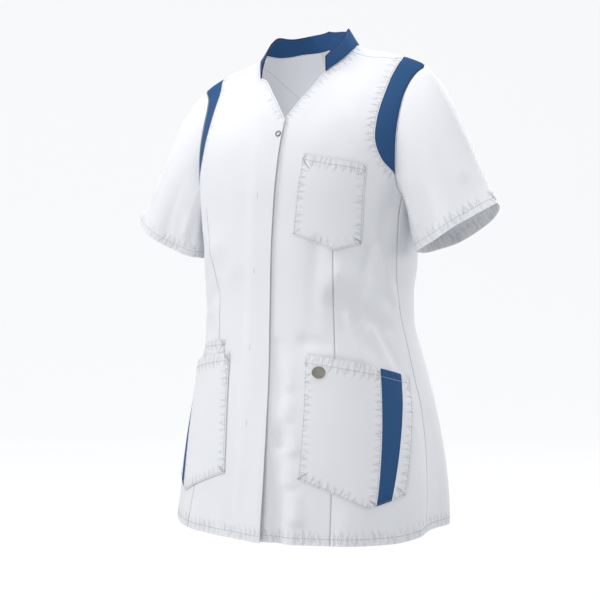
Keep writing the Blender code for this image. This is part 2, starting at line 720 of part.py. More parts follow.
CHEST_TOP = (TurnPlace(15.4, 9.3), TurnPlace(48.7, 8.8))
CHEST_BOTTOM = pointed(TurnPlace(12.4, -1.7), TurnPlace(34.2, -4.0), TurnPlace(49.5, -3.0), (4, 2))
patch("chest_pocket", CHEST_TOP, CHEST_BOTTOM, (6, 5), WHITE, stand=0.10)

# A hip pocket is a main piece, a pen strip and a side piece, from the front round to the side seam
HIP_TOP = (TurnPlace(18.6, -18.4), TurnPlace(38.8, -19.3), TurnPlace(58.9, -20.2))
HIP_BOTTOM = pointed(TurnPlace(14.4, -35.4), TurnPlace(44.6, -39.1), TurnPlace(49.2, -38.7), (5, 1))
STRIP_TOP = (TurnPlace(58.9, -20.2), TurnPlace(73.5, -21.0))
STRIP_BOTTOM = (TurnPlace(49.2, -38.7), TurnPlace(57.0, -38.0))
SIDE_CLEAR = 0.05
SIDE_TOP = (TurnPlace(73.5, -21.0), TurnPlace(80.5, -21.3))
SIDE_BOTTOM = (TurnPlace(57.0, -38.0), TurnPlace(64.5, -37.3))
HIP_STAND = 0.35
PHONE_TOP = (TurnPlace(23.0, -16.6), TurnPlace(46.0, -17.2))
PHONE_BOTTOM = (TurnPlace(23.4, -21.2), TurnPlace(45.2, -21.8))
for side_name, side in (("left", 1), ("right", -1)):
    patch("hip_pocket_" + side_name, HIP_TOP, HIP_BOTTOM, (6, 7), WHITE, side, HIP_STAND)
    patch("pen_strip_" + side_name, STRIP_TOP, STRIP_BOTTOM, (2, 7), BLUE, side)
    patch("hip_side_" + side_name, SIDE_TOP, SIDE_BOTTOM, (2, 7), WHITE, side, 0, POCKET_CLEAR + SIDE_CLEAR)
PHONE_CLEAR = 0.08
PHONE_WALL = 0.10
patch("phone_pocket", PHONE_TOP, PHONE_BOTTOM, (4, 2), WHITE, -1, 0, PHONE_CLEAR, PHONE_WALL)

# Fastening, badge and label


def seat(turn, climb, height):
    """A place off the body's surface, with the directions round the body, up the cloth and outwards."""
    normal = outward(turn, climb)
    place = torso(turn, climb) + normal * (folds(turn, climb) + height)[..., None]
    up = torso(turn, climb + 0.5) - torso(turn, climb - 0.5)
    up -= (up @ normal) * normal
    up /= np.linalg.norm(up)
    return place, np.cross(up, normal), up, normal


def stud(name, frame, outer_radii, inner_share, thick, finish, sides=16):
    """A flat oval disc or ring in centimetres, with a softened rim, lying in a frame."""
    place, across, up, normal = frame
    bm = bmesh.new()
    bmesh.ops.create_circle(bm, cap_ends=inner_share == 0, segments=sides, radius=1)
    if inner_share:
        rim = list(bm.edges)
        widened = bmesh.ops.extrude_edge_only(bm, edges=rim)
        bmesh.ops.scale(bm, vec=(inner_share, inner_share, 1),
                        verts=[item for item in widened["geom"] if isinstance(item, bmesh.types.BMVert)])
    raised = bmesh.ops.extrude_face_region(bm, geom=bm.faces[:])
    top = [item for item in raised["geom"] if isinstance(item, bmesh.types.BMVert)]
    bmesh.ops.translate(bm, vec=(0, 0, 1), verts=top)
    bmesh.ops.recalc_face_normals(bm, faces=bm.faces)
    for vert in bm.verts:
        x, y, z = vert.co
        soft = 1 - STUD_BEVEL * z if np.hypot(x, y) > (1 + inner_share) / 2 else 1
        spot = place + across * x * outer_radii[0] * soft + up * y * outer_radii[1] * soft + normal * z * thick
        vert.co = spot * CM
    bmesh.ops.recalc_face_normals(bm, faces=bm.faces)
    mesh = bpy.data.meshes.new(name)
    bm.to_mesh(mesh)
    bm.free()
    mesh.materials.append(finish)
    mesh.shade_smooth()
    mesh.set_sharp_from_angle(angle=np.radians(40))
    bpy.context.collection.objects.link(bpy.data.objects.new(name, mesh))


STUD_BEVEL = 0.12
RING_RADIUS = 0.48
RING_HOLE = 0.62
RING_THICK = 0.12
RING_TURN = 3.4
RING_CLIMB = 11.2
stud("snap_ring", seat(RING_TURN, RING_CLIMB, LAP_LIFT - 0.02), (RING_RADIUS, RING_RADIUS), RING_HOLE,
     RING_THICK, STEEL)
BADGE_RADII = (0.95, 0.82)
BADGE_THICK = 0.15
BADGE_TURN = 25.0
BADGE_CLIMB = -20.9
BADGE_SIDES = 20
BADGE_LIFT = POCKET_CLEAR + POCKET_WALL + 0.30
stud("badge", seat(BADGE_TURN, BADGE_CLIMB, BADGE_LIFT), BADGE_RADII, 0, BADGE_THICK, STEEL, BADGE_SIDES)

# The label hangs inside the back neck, on the wearer's left of its middle
LABEL_OUT = 0.1
LABEL_WIDTH = 2.6
LABEL_TOP = 26.0
LABEL_LENGTH = 3.0
LABEL_WALL = 0.10
LABEL_DEEP = WALL + FACING_DEEP + FACING_WALL + 0.20
label_climb = np.linspace(LABEL_TOP - LABEL_LENGTH, LABEL_TOP, 4)[:, None]
label_out = np.linspace(LABEL_OUT + LABEL_WIDTH / 2, LABEL_OUT - LABEL_WIDTH / 2, 4)[None]
label_turn = 180 - turn_at(label_out, label_climb, back=True)
label_climb = np.broadcast_to(label_climb, label_turn.shape)
label_normal = outward(label_turn, label_climb)
label_height = folds(label_turn, label_climb)[..., None] - LABEL_DEEP
label_outer = torso(label_turn, label_climb) + label_normal * label_height
wall("neck_label", label_outer, label_outer - label_normal * LABEL_WALL, LABEL)
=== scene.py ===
"""Work tunic: white twill with blue inserts, collar and pen strips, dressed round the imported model.

Metres, +Z up, the front towards -Y and the wearer's left towards +X. The tables give centimetres.
"""

from collections import namedtuple

import bmesh
import bpy
import numpy as np
from mathutils import Matrix, Vector


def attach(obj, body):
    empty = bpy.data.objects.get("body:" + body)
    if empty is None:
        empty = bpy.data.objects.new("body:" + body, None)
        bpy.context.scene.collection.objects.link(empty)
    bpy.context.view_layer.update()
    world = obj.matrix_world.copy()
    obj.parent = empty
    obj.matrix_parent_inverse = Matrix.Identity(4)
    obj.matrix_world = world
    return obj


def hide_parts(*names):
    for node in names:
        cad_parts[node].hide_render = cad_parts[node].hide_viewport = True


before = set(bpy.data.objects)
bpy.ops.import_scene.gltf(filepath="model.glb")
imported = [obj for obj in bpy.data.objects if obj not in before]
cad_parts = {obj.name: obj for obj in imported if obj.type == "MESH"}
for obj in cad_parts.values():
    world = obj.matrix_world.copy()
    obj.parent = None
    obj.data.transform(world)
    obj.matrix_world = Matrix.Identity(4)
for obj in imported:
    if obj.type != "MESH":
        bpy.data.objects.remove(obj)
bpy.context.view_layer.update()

# Camera, floor and light
#
# The tunic is seen from the front, a little to the wearer's left, by a camera just below its middle.
# A pale sweep lies all round it. Large soft lamps stand in front, above, behind, beside and below.
AZIMUTH = np.radians(30.39)
ELEVATION = np.radians(-1.47)
ROLL = np.radians(-0.84)
DISTANCE = 1.6635
LENS = 65.85
SENSOR = 36
AIM_RIGHT = -0.0134
AIM_UP = -0.3754


def placed(name, data):
    """A new object that holds some data."""
    item = bpy.data.objects.new(name, data)
    bpy.context.collection.objects.link(item)
    return item


def meshed(name, bm):
    """A mesh of what a bmesh holds."""
    mesh = bpy.data.meshes.new(name)
    bm.to_mesh(mesh)
    bm.free()
    return mesh


level = np.cos(ELEVATION)
back_way = Vector((np.sin(AZIMUTH) * level, -np.cos(AZIMUTH) * level, np.sin(ELEVATION)))
right_way = Vector((np.cos(AZIMUTH), np.sin(AZIMUTH), 0))
up_way = back_way.cross(right_way)
aim = right_way * AIM_RIGHT + Vector((0, 0, AIM_UP))
rolled_right = right_way * np.cos(ROLL) - up_way * np.sin(ROLL)
rolled_up = right_way * np.sin(ROLL) + up_way * np.cos(ROLL)
camera_data = bpy.data.cameras.new("camera")
camera_data.lens = LENS
camera_data.sensor_width = SENSOR
camera = placed("camera", camera_data)
faced = Matrix((rolled_right, rolled_up, back_way)).transposed().to_4x4()
camera.matrix_world = Matrix.Translation(aim + back_way * DISTANCE) @ faced
bpy.context.scene.camera = camera

FLOOR = -0.95
FLOOR_REACH = 3.4
BEND = 1.2
RIM = 4.0
bend = np.linspace(0, np.pi / 2, 13)
profile = [(0, FLOOR)] + [(FLOOR_REACH + BEND * np.sin(at), FLOOR + BEND * (1 - np.cos(at))) for at in bend]
profile.append((FLOOR_REACH + BEND, RIM))
bm = bmesh.new()
line = [bm.verts.new((reach, 0, height)) for reach, height in profile]
for pair in zip(line, line[1:]):
    bm.edges.new(pair)
bmesh.ops.spin(bm, geom=bm.verts[:] + bm.edges[:], cent=(0, 0, 0), axis=(0, 0, 1), angle=2 * np.pi, steps=72,
               use_merge=True)
bmesh.ops.remove_doubles(bm, verts=bm.verts, dist=1e-5)
bmesh.ops.recalc_face_normals(bm, faces=bm.faces)
bmesh.ops.reverse_faces(bm, faces=bm.faces)
sweep = placed("sweep", meshed("sweep", bm))
sweep.data.shade_smooth()
paper = bpy.data.materials.new("pale_paper")
paper.use_nodes = True
PAPER = {
    "Base Color": (0.12, 0.12, 0.12, 1), "Roughness": 0.9,
    "Emission Color": (0.985, 0.99, 1, 1), "Emission Strength": 0.85,
}
for socket_name, value in PAPER.items():
    paper.node_tree.nodes["Principled BSDF"].inputs[socket_name].default_value = value
sweep.data.materials.append(paper)
sweep.visible_diffuse = False
sweep.visible_shadow = False

Lamp = namedtuple("Lamp", "name x y z size power")
LAMPS = (
    Lamp("key", -2.3, -1.75, 1.4, 1.2, 39),
    Lamp("front", 0.3, -2.9, 0.8, 1.2, 15),
    Lamp("top", 0.2, 0.1, 2.6, 1.8, 48),
    Lamp("behind", 1.6, 2.3, 1.3, 1.5, 36),
    Lamp("side", 2.6, 0.9, 0.1, 1.5, 10),
    Lamp("low", 0.2, -2.5, -1.7, 1.4, 11),
)
LAMP_AIM = Vector((0, 0, -0.35))
for lamp in LAMPS:
    light = bpy.data.lights.new(lamp.name, "AREA")
    light.size = lamp.size
    light.energy = lamp.power
    holder = placed(lamp.name, light)
    stand_place = Vector((lamp.x, lamp.y, lamp.z))
    holder.location = stand_place
    holder.rotation_euler = (stand_place - LAMP_AIM).to_track_quat("Z", "Y").to_euler()
    holder.visible_camera = False
# A weak bulb hangs in the hollow, so that the inside of the neck and of the sleeves is not dark
BULB = Lamp("bulb", 0.0, 0.0, -0.16, 0.08, 0.25)
bulb_light = bpy.data.lights.new(BULB.name, "POINT")
bulb_light.energy = BULB.power
bulb_light.shadow_soft_size = BULB.size
bulb = placed(BULB.name, bulb_light)
bulb.location = (BULB.x, BULB.y, BULB.z)
bulb.visible_camera = False
world = bpy.data.worlds.new("studio")
world.use_nodes = True
world.node_tree.nodes["Background"].inputs["Color"].default_value = (0.93, 0.955, 1.0, 1)
world.node_tree.nodes["Background"].inputs["Strength"].default_value = 0.48
bpy.context.scene.world = world
bpy.context.scene.view_settings.view_transform = "Standard"

# Cloth on the body
#
# The cloth of the body is one smooth surface, filled out as if it were worn. A place on it has a turn,
# in degrees round the body from the centre front, and a climb, in centimetres up the cloth from the
# bust line and on over the shoulder. Each panel is cut out of it between its seams.
BUST_LINE = -27.0
RIDGE = 32.0
RIDGE_FORWARD = -0.5
TOP_HALF_WIDTH = 20.8
TOP_SPREAD = 1.5
SQUARENESS = 2.3
LAP_LIFT = 0.42

# The body's level sections, from hem to bust line
Section = namedtuple("Section", "height half_width front_depth back_depth sway")
SECTIONS = (
    Section(-73, 20.8, 15.3, 16.6, 0.6),
    Section(-64, 20.2, 14.9, 16.0, 1.0),
    Section(-56, 19.1, 14.4, 15.0, 1.0),
    Section(-48, 17.5, 13.7, 13.4, 0.8),
    Section(-41, 16.1, 13.1, 12.0, 0.4),
    Section(-36, 16.0, 12.9, 11.4, 0.2),
    Section(-31, 16.7, 12.9, 11.2, 0.1),
    Section(-27, 17.2, 12.8, 11.0, 0.0),
)

# The cloth's way over the shoulder: place is the distance from the ridge, towards the back
Rise = namedtuple("Rise", "place height_share depth_share")
RISE = (
    Rise(-32, 0.0, -1.0),
    Rise(-26, 0.222, -0.99),
    Rise(-21, 0.40, -0.92),
    Rise(-17, 0.54, -0.80),
    Rise(-13, 0.67, -0.62),
    Rise(-9, 0.79, -0.42),
    Rise(-5, 0.895, -0.23),
    Rise(-2, 0.97, -0.10),
    Rise(0, 1.0, 0.0),
    Rise(2, 0.99, 0.15),
    Rise(4.5, 0.945, 0.36),
    Rise(8, 0.86, 0.60),
    Rise(12, 0.735, 0.82),
    Rise(16, 0.60, 0.96),
    Rise(20, 0.44, 1.02),
    Rise(26, 0.222, 1.02),
    Rise(32, 0.0, 1.0),
)

# The height of the shoulder ridge, out from the neck
Ridge = namedtuple("Ridge", "out height")
RIDGE_LINE = (
    Ridge(0, 4.5),
    Ridge(4, 3.2),
    Ridge(7.5, 0.6),
    Ridge(10, -0.6),
    Ridge(13, -1.4),
    Ridge(16, -2.4),
    Ridge(19, -3.9),
    Ridge(21, -5.6),
)


def curve(at, places, values):
    """Values at some places, on a smooth curve through a table's rows."""
    places = np.asarray(places, float)
    values = np.asarray(values, float)
    at = np.asarray(at, float)
    slopes = np.gradient(values, places, axis=0)
    i = np.clip(np.searchsorted(places, at) - 1, 0, len(places) - 2)
    step = places[i + 1] - places[i]
    t = np.clip((at - places[i]) / step, 0, 1)
    if values.ndim > 1:
        step = step[..., None]
        t = t[..., None]
    keep = 2 * t**3 - 3 * t**2 + 1
    leaving = (t**3 - 2 * t**2 + t) * step * slopes[i]
    arriving = (t**3 - t**2) * step * slopes[i + 1]
    return keep * values[i] + (1 - keep) * values[i + 1] + leaving + arriving


def columns(table):
    """A table's first column, and the rest."""
    rows = np.array(table, float)
    return rows[:, 0], rows[:, 1:]


def half_width(climb, back=False):
    """Half the body's width where the cloth has climbed so far."""
    height = BUST_LINE + np.minimum(climb, 0)
    half = curve(height, *columns(SECTIONS))[..., 0]
    up = np.maximum(climb, 0)
    place = RIDGE - up if back else up - RIDGE
    share = curve(place, *columns(RISE))[..., 0]
    return half + (TOP_HALF_WIDTH - half) * share**TOP_SPREAD


def turn_at(out, climb, back=False):
    """The angle from the centre front, or centre back, of a place so far out from the centre line."""
    share = np.clip(np.abs(out) / half_width(climb, back), 0, 1)
    return np.sign(out) * np.degrees(np.arcsin(share ** (SQUARENESS / 2)))


def torso(turn, climb):
    """Points of the body's smooth surface."""
    turn, climb = np.broadcast_arrays(np.asarray(turn, float), np.asarray(climb, float))
    height = BUST_LINE + np.minimum(climb, 0)
    sizes = curve(height, *columns(SECTIONS))
    half, front, back, sway = np.moveaxis(sizes, -1, 0)
    sine, cosine = np.sin(np.radians(turn)), np.cos(np.radians(turn))
    across = np.sign(sine) * np.abs(sine) ** (2 / SQUARENESS)
    along = np.abs(cosine) ** (2 / SQUARENESS)
    up = np.maximum(climb, 0)
    place = np.where(cosine > 0, up - RIDGE, RIDGE - up)
    share, depth = np.moveaxis(curve(place, *columns(RISE)), -1, 0)
    ridge = curve(np.abs(across) * TOP_HALF_WIDTH, *columns(RIDGE_LINE))[..., 0]
    x = across * (half + (TOP_HALF_WIDTH - half) * share**TOP_SPREAD) + sway
    y = np.where(depth < 0, -front, back) * along * np.abs(depth)
    y = y + RIDGE_FORWARD * (1 - np.abs(depth))
    z = height + (ridge - BUST_LINE) * share
    return np.stack([x, y, z], axis=-1)


def outward(turn, climb):
    """Unit normals of the body's surface."""
    step = 0.4
    round_body = torso(turn + step, climb) - torso(turn - step, climb)
    up_cloth = torso(turn, climb + step) - torso(turn, climb - step)
    normal = np.cross(round_body, up_cloth)
    return normal / np.linalg.norm(normal, axis=-1, keepdims=True)


# The largest folds, ridges where the height is above 0 and troughs where it is below
Fold = namedtuple("Fold", "turn climb to_turn to_climb width height")
# How wide a degree of turn is, and how much of its height a fold loses towards its far end
DEGREE = 0.31
FADE = 0.6
FOLDS = (
    # under the bust and round the left waist
    Fold(36, -8, 84, -16, 2.6, 0.40),
    Fold(42, -14, 84, -22, 2.6, -0.35),
    # from the underarms towards the bust
    Fold(72, 5, 56, -6, 2.4, -0.40),
    Fold(-72, 5, -58, -5, 2.4, -0.40),
    # round the right waist
    Fold(-42, -10, -84, -15, 2.6, 0.35),
    Fold(-46, -15, -84, -20, 2.6, -0.30),
    # flares of the skirt, front and sides
    Fold(10, -46, 8, -26, 1.6, 0.50),
    Fold(24, -47, 27, -37, 2.4, -0.35),
    Fold(68, -47, 74, -26, 2.4, 0.45),
    Fold(86, -47, 88, -28, 2.2, -0.55),
    Fold(104, -47, 100, -24, 2.6, 0.55),
    Fold(-30, -47, -32, -38, 2.6, 0.35),
    Fold(-68, -47, -74, -26, 2.4, 0.40),
    Fold(-86, -47, -88, -28, 2.2, -0.50),
    Fold(-104, -47, -100, -26, 2.6, 0.50),
    # the back: across the waist, and flares
    Fold(152, -11, 116, -6, 2.2, 0.45),
    Fold(154, -16, 110, -14, 2.0, -0.40),
    Fold(208, -11, 243, -7, 2.2, 0.45),
    Fold(206, -16, 248, -13, 2.0, -0.40),
    Fold(168, -7, 196, -8, 2.2, 0.30),
    Fold(132, -47, 136, -26, 2.6, 0.50),
    Fold(158, -47, 160, -30, 2.6, -0.50),
    Fold(184, -47, 182, -27, 2.6, 0.40),
    Fold(206, -47, 204, -28, 2.6, -0.45),
    Fold(230, -47, 226, -26, 2.6, 0.45),
    # from the armholes down the back
    Fold(114, 8, 132, -2, 2.1, 0.45),
    Fold(246, 8, 228, -2, 2.1, 0.45),
)
# The lap's edge stands away from the left front where it isn't fastened, down to the hem
LAP_OPENS = -24.0
LAP_STAND = 0.8
LAP_STAND_SOFT = 20
LAP_START = -3.6
LAP_SOFT = 1.8
EDGE_START = -1.5
EDGE_SOFT = 3.2


def smooth_step(value):
    """0 to 1 with soft ends."""
    t = np.clip(value, 0, 1)
    return t * t * (3 - 2 * t)


def folds(turn, climb, table):
    """How far the folds of a table move the cloth outwards."""
    turn, climb = np.broadcast_arrays(np.asarray(turn, float), np.asarray(climb, float))
    moved = np.zeros(turn.shape)
    for fold in table:
        start = np.array([fold.turn * DEGREE, fold.climb])
        along = np.array([fold.to_turn * DEGREE, fold.to_climb]) - start
        around = (turn - fold.turn + 180) % 360 - 180 + fold.turn
        here = np.stack([around * DEGREE, climb], axis=-1) - start
        share = np.clip(here @ along / (along @ along), 0, 1)
        away = np.linalg.norm(here - share[..., None] * along, axis=-1)
        moved += fold.height * (1 - FADE * share) * np.exp(-((away / fold.width) ** 2))
    return moved


def lap(turn, climb):
    """How far the right front stands off, where it laps over the left one."""
    out = torso(turn, climb)[..., 0]
    over = smooth_step((out - LAP_START) / LAP_SOFT)
    edge = smooth_step((out - EDGE_START) / EDGE_SOFT) * smooth_step((LAP_OPENS - climb) / LAP_STAND_SOFT)
    return LAP_LIFT * over + LAP_STAND * edge


# Finer creases of the same kind, which are too small for the solids
CREASES = (
    # drags at the left waist, from the dart to the side seam
    Fold(36, -10.9, 72, -14.8, 1.3, -0.70),
    Fold(38, -7.2, 66, -9.0, 1.5, 0.34),
    Fold(58, -2.5, 78, -10.5, 1.1, 0.50),
    Fold(57, -3.0, 53, -9.5, 1.2, -0.42),
    Fold(44, -12.8, 48.5, -18.2, 0.8, 0.32),
    Fold(51, -13.8, 57, -18.8, 0.8, -0.26),
    Fold(58, -15.0, 66.5, -19.5, 0.8, 0.34),
    Fold(65, -15.5, 74, -20.5, 0.9, -0.24),
    Fold(24.7, -3.4, 23.6, -14.1, 1.3, -0.32),
    # drags at the right waist
    Fold(-30, -3, -66, -7, 2.0, 0.35),
    Fold(-34, -10, -70, -13, 1.6, -0.50),
    Fold(20, 12, 26, 20, 2.6, 0.22),
    # the hollow beside the lap's lower edge, and the wavy ridge that bounds it
    Fold(7.6, -47, 7.0, -30, 1.1, -1.05),
    Fold(6.5, -31, 5.5, -17, 0.8, -0.62),
    Fold(11.5, -46, 11.5, -43.5, 0.8, 0.40),
    Fold(14.0, -41, 13.5, -38, 0.8, 0.50),
    Fold(10.0, -36, 10.5, -34, 0.8, 0.38),
    Fold(12.5, -31.5, 12.0, -29, 0.8, 0.42),
    Fold(8.5, -27, 9.0, -25, 0.8, 0.36),
    Fold(11.0, -22.5, 10.0, -20, 0.8, 0.26),
    # the dent over the left hip pocket's front corner
    Fold(19, -16.7, 29, -17.0, 1.1, -0.42),
    # the skirt below the left hip pocket
    Fold(33, -46, 35, -40, 1.2, 0.22),
    Fold(47, -46, 50, -39, 1.3, -0.24),
    Fold(60, -46, 60, -39, 1.2, 0.20),
    Fold(76, -46, 80, -30, 1.2, 0.22),
    Fold(92, -46, 95, -32, 1.3, -0.22),
    # the right front
    Fold(-14, -6, -46, -13, 1.5, 0.14),
    Fold(-16, -20, -40, -15, 1.5, -0.14),
    Fold(-14, -46, -16, -33, 1.5, 0.20),
    Fold(-23, -46, -24, -38, 1.1, -0.18),
    Fold(-44, -46, -46, -39, 1.2, 0.16),
    Fold(-60, 0, -46, -8, 1.3, -0.16),
    Fold(-20, 12, -26, 20, 2.6, 0.20),
    # the back
    Fold(160, -8, 132, -13, 1.5, 0.38),
    Fold(176, -11, 150, -18, 1.6, -0.38),
    Fold(200, -8, 228, -13, 1.5, 0.38),
    Fold(186, -12, 214, -19, 1.6, -0.38),
    Fold(120, 2, 140, -8, 1.4, 0.36),
    Fold(240, 2, 220, -8, 1.4, 0.36),
    Fold(128, 12, 150, 4, 1.5, -0.34),
    Fold(232, 12, 210, 4, 1.5, -0.34),
    Fold(145, -46, 147, -30, 1.6, 0.40),
    Fold(171, -46, 170, -32, 1.5, -0.40),
    Fold(195, -46, 194, -30, 1.5, 0.40),
    Fold(218, -46, 215, -31, 1.6, -0.40),
)


def creases(turn, climb):
    """How far the folds and the finer creases together move the cloth outwards."""
    return folds(turn, climb, FOLDS) + folds(turn, climb, CREASES)


# The hem's climb: it hangs lowest in front
Hem = namedtuple("Hem", "turn climb")
HEM_LINE = (
    Hem(0, -44.4), Hem(30, -44.2), Hem(60, -43.8), Hem(81, -43.0), Hem(110, -42.6), Hem(180, -43.0),
    Hem(250, -42.6), Hem(279, -43.0), Hem(300, -43.8), Hem(330, -44.2), Hem(360, -44.4),
)


def hem_climb(turn):
    """The climb of the hem at a turn."""
    return curve(np.mod(turn, 360), *columns(HEM_LINE))[..., 0]


def hem(first, last, shares):
    """Places along the hem between two turns."""
    turns = first + (last - first) * shares
    return np.stack([turns, hem_climb(turns)], axis=1)


# Seams, as rows of places on the cloth
OutPlace = namedtuple("OutPlace", "out climb")
TurnPlace = namedtuple("TurnPlace", "turn climb")


def out_places(*rows):
    """A seam's rows, each a distance out from the centre line and a climb."""
    return tuple(OutPlace(*row) for row in rows)


def turn_places(*rows):
    """A seam's rows, each a turn and a climb."""
    return tuple(TurnPlace(*row) for row in rows)


RIGHT_EDGE = out_places((1.4, -44.4), (1.0, -30), (1.0, -15), (1.4, 0), (1.8, 6), (2.2, 13.2))
RIGHT_V = out_places((2.2, 13.2), (-0.4, 16.4), (-3.4, 20.3), (-5.5, 22.8))
LEFT_EDGE = out_places((-1.6, -44.4), (-1.6, 8.5))
LEFT_V = out_places((-1.6, 8.5), (2.2, 13.9), (4.3, 18.4), (5.5, 22.8))
NECK_FRONT = out_places((5.5, 22.8), (7.0, 26.6), (7.9, 29.2))
SHOULDER_SEAM = out_places((7.9, 29.2), (11.5, 29.4), (15.6, 30.4))
DART_LOW = out_places((10.9, -44.2), (10.6, -37), (10.2, -19), (9.9, -11), (10.0, -2))
DART_HIGH = out_places((10.0, -2), (10.6, 10), (10.8, 20), (11.1, 29.4))
SIDE_SEAM = turn_places(
    (81, -43.0), (83, -37), (86, -30), (85.5, -20), (83, -12), (76.5, -4), (75.5, 1), (78, 5.2),
)
UNDERARM_FRONT = turn_places((78, 5.2), (73, 6.3), (68.5, 8.2))
INSERT_FRONT_TIP = turn_places((68.5, 8.2), (67.4, 8.5))
INSERT_FRONT_INNER = turn_places(
    (67.4, 8.5), (57, 10.3), (50.8, 12.8), (47.6, 16.5), (45.8, 22.0), (45.2, 27.0), (46.4, 30.4),
)
INSERT_FRONT_OUTER = turn_places(
    (68.5, 8.2), (65.5, 11.7), (62.5, 15.2), (59.5, 19.6), (58.0, 23.8), (59.5, 27.6), (64, 30.4),
)
# On the back these are angles from the centre back, and the climb goes on over the ridge
OVER_SHOULDER = 2 * RIDGE - 30.4
UNDERARM_BACK = turn_places((102, 5.2), (90, 4.8), (78, 6.0), (68.5, 8.2))
INSERT_BACK_TIP = turn_places((68.5, 8.2), (67.4, 8.5))
INSERT_BACK_INNER = turn_places(
    (67.4, 8.5), (57, 11.0), (50, 15.5), (46.5, 21.0), (45.0, 27.0), (46.4, OVER_SHOULDER),
)
INSERT_BACK_OUTER = turn_places(
    (68.5, 8.2), (65.5, 12.0), (62.0, 17.0), (60.0, 22.5), (60.0, 28.0), (64, OVER_SHOULDER),
)
NECK_BACK = out_places(
    (7.9, 34.8), (8.0, 32.4), (7.3, 30.0), (5.4, 27.9), (2.8, 26.4), (0, 25.9), (-2.8, 26.4),
    (-5.4, 27.9), (-7.3, 30.0), (-8.0, 32.4), (-7.9, 34.8),
)
BACK_DART_LOW = out_places((9.8, -43.0), (8.6, -17), (8.6, -2))
BACK_DART_HIGH = out_places((8.6, -2), (9.4, 12), (10.2, 22), (10.0, 29), (7.9, 34.8))

# How many steps the solids have along each seam, and how many of the cloth's steps go into each
SIDE_STEPS = 17
UNDERARM_STEPS = 3
INSERT_STEPS = 9
EDGE_STEPS = 22
V_STEPS = 4
NECK_STEPS = 4
TIP_EASE = 1.35
DART_EASE = 1.5
NEAR_STEPS = 5
FAR_STEPS = 7
NECK_BACK_STEPS = 10
ROWS = SIDE_STEPS + UNDERARM_STEPS + 1 + INSERT_STEPS
FINE = 7
BACK_FINE = 6
# How much closer a panel's columns lie at its seams than in its middle
CROWDING = 0.8


def even(steps, ease=1.0):
    """Shares of a length in even steps or, with an ease over 1, closer at its start."""
    return np.linspace(0, 1, steps + 1) ** ease


def crowded(steps):
    """Shares of a length that lie closer together at both its ends."""
    share = np.linspace(0, 1, steps + 1)
    return share - CROWDING * np.sin(2 * np.pi * share) / (2 * np.pi)


def lengths_along(line):
    """How far each point of a line lies along it."""
    return np.concatenate([[0], np.cumsum(np.linalg.norm(np.diff(line, axis=0), axis=1))])


def run_at(table, shares):
    """Places along a seam's rows, at shares of its length."""
    rows = np.array(table, float)
    scale = np.array([DEGREE if isinstance(table[0], TurnPlace) else 1.0, 1.0])
    along = lengths_along(rows * scale)
    return curve(along[-1] * shares, along, rows)


def run(table, steps, ease=1.0):
    """Places along a seam's rows, in even steps or, with an ease over 1, closer at its start."""
    return run_at(table, even(steps, ease))


def to_turns(places, back=False):
    """Places given by their distance out from the centre line, as turns."""
    turns = turn_at(places[:, 0], places[:, 1], back)
    return np.stack([turns, places[:, 1]], axis=1)


def behind(places):
    """Places given by their angle from the centre back, as turns."""
    return np.stack([180 - places[..., 0], places[..., 1]], axis=-1)


def join(*parts):
    """Seams end to end, as one boundary."""
    kept = [parts[0]] + [part[1:] for part in parts[1:]]
    return np.concatenate(kept)


def blend(top, left, right, shares):
    """A grid of places up from the hem, with its columns at shares of its width."""
    bottom = hem(left[0, 0], right[0, 0], shares)
    u = shares[None, :, None]
    v = np.linspace(0, 1, len(left))[:, None, None]
    rows = (1 - v) * bottom[None] + v * top[None]
    across = (1 - u) * left[:, None] + u * right[:, None]
    low = (1 - u) * bottom[0] + u * bottom[-1]
    high = (1 - u) * top[0] + u * top[-1]
    return rows + across - (1 - v) * low - v * high


# White twill
#
# The tunic's main cloth is a matt cotton and polyester twill of about 200 grams a square metre. It
# has fine diagonal ribs, and puckers a little at each row of stitches. The blue is the same cloth.


class Wire:
    """A shader value that can be used in sums."""

    def __init__(self, tree, socket):
        self.tree = tree
        self.socket = socket

    def sum(self, operation, *terms):
        node = self.tree.nodes.new("ShaderNodeMath")
        node.operation = operation
        for socket, term in zip(node.inputs, terms):
            if isinstance(term, Wire):
                self.tree.links.new(term.socket, socket)
            else:
                socket.default_value = term
        return Wire(self.tree, node.outputs[0])

    def __add__(self, other):
        return self.sum("ADD", self, other)

    def __sub__(self, other):
        return self.sum("SUBTRACT", self, other)

    def __mul__(self, other):
        return self.sum("MULTIPLY", self, other)

    def sine(self):
        return self.sum("SINE", self)

    def bell(self, width):
        """1 where the value is 0, falling to nothing a few widths away."""
        return self.sum("EXPONENT", self * self * (-1 / width**2))


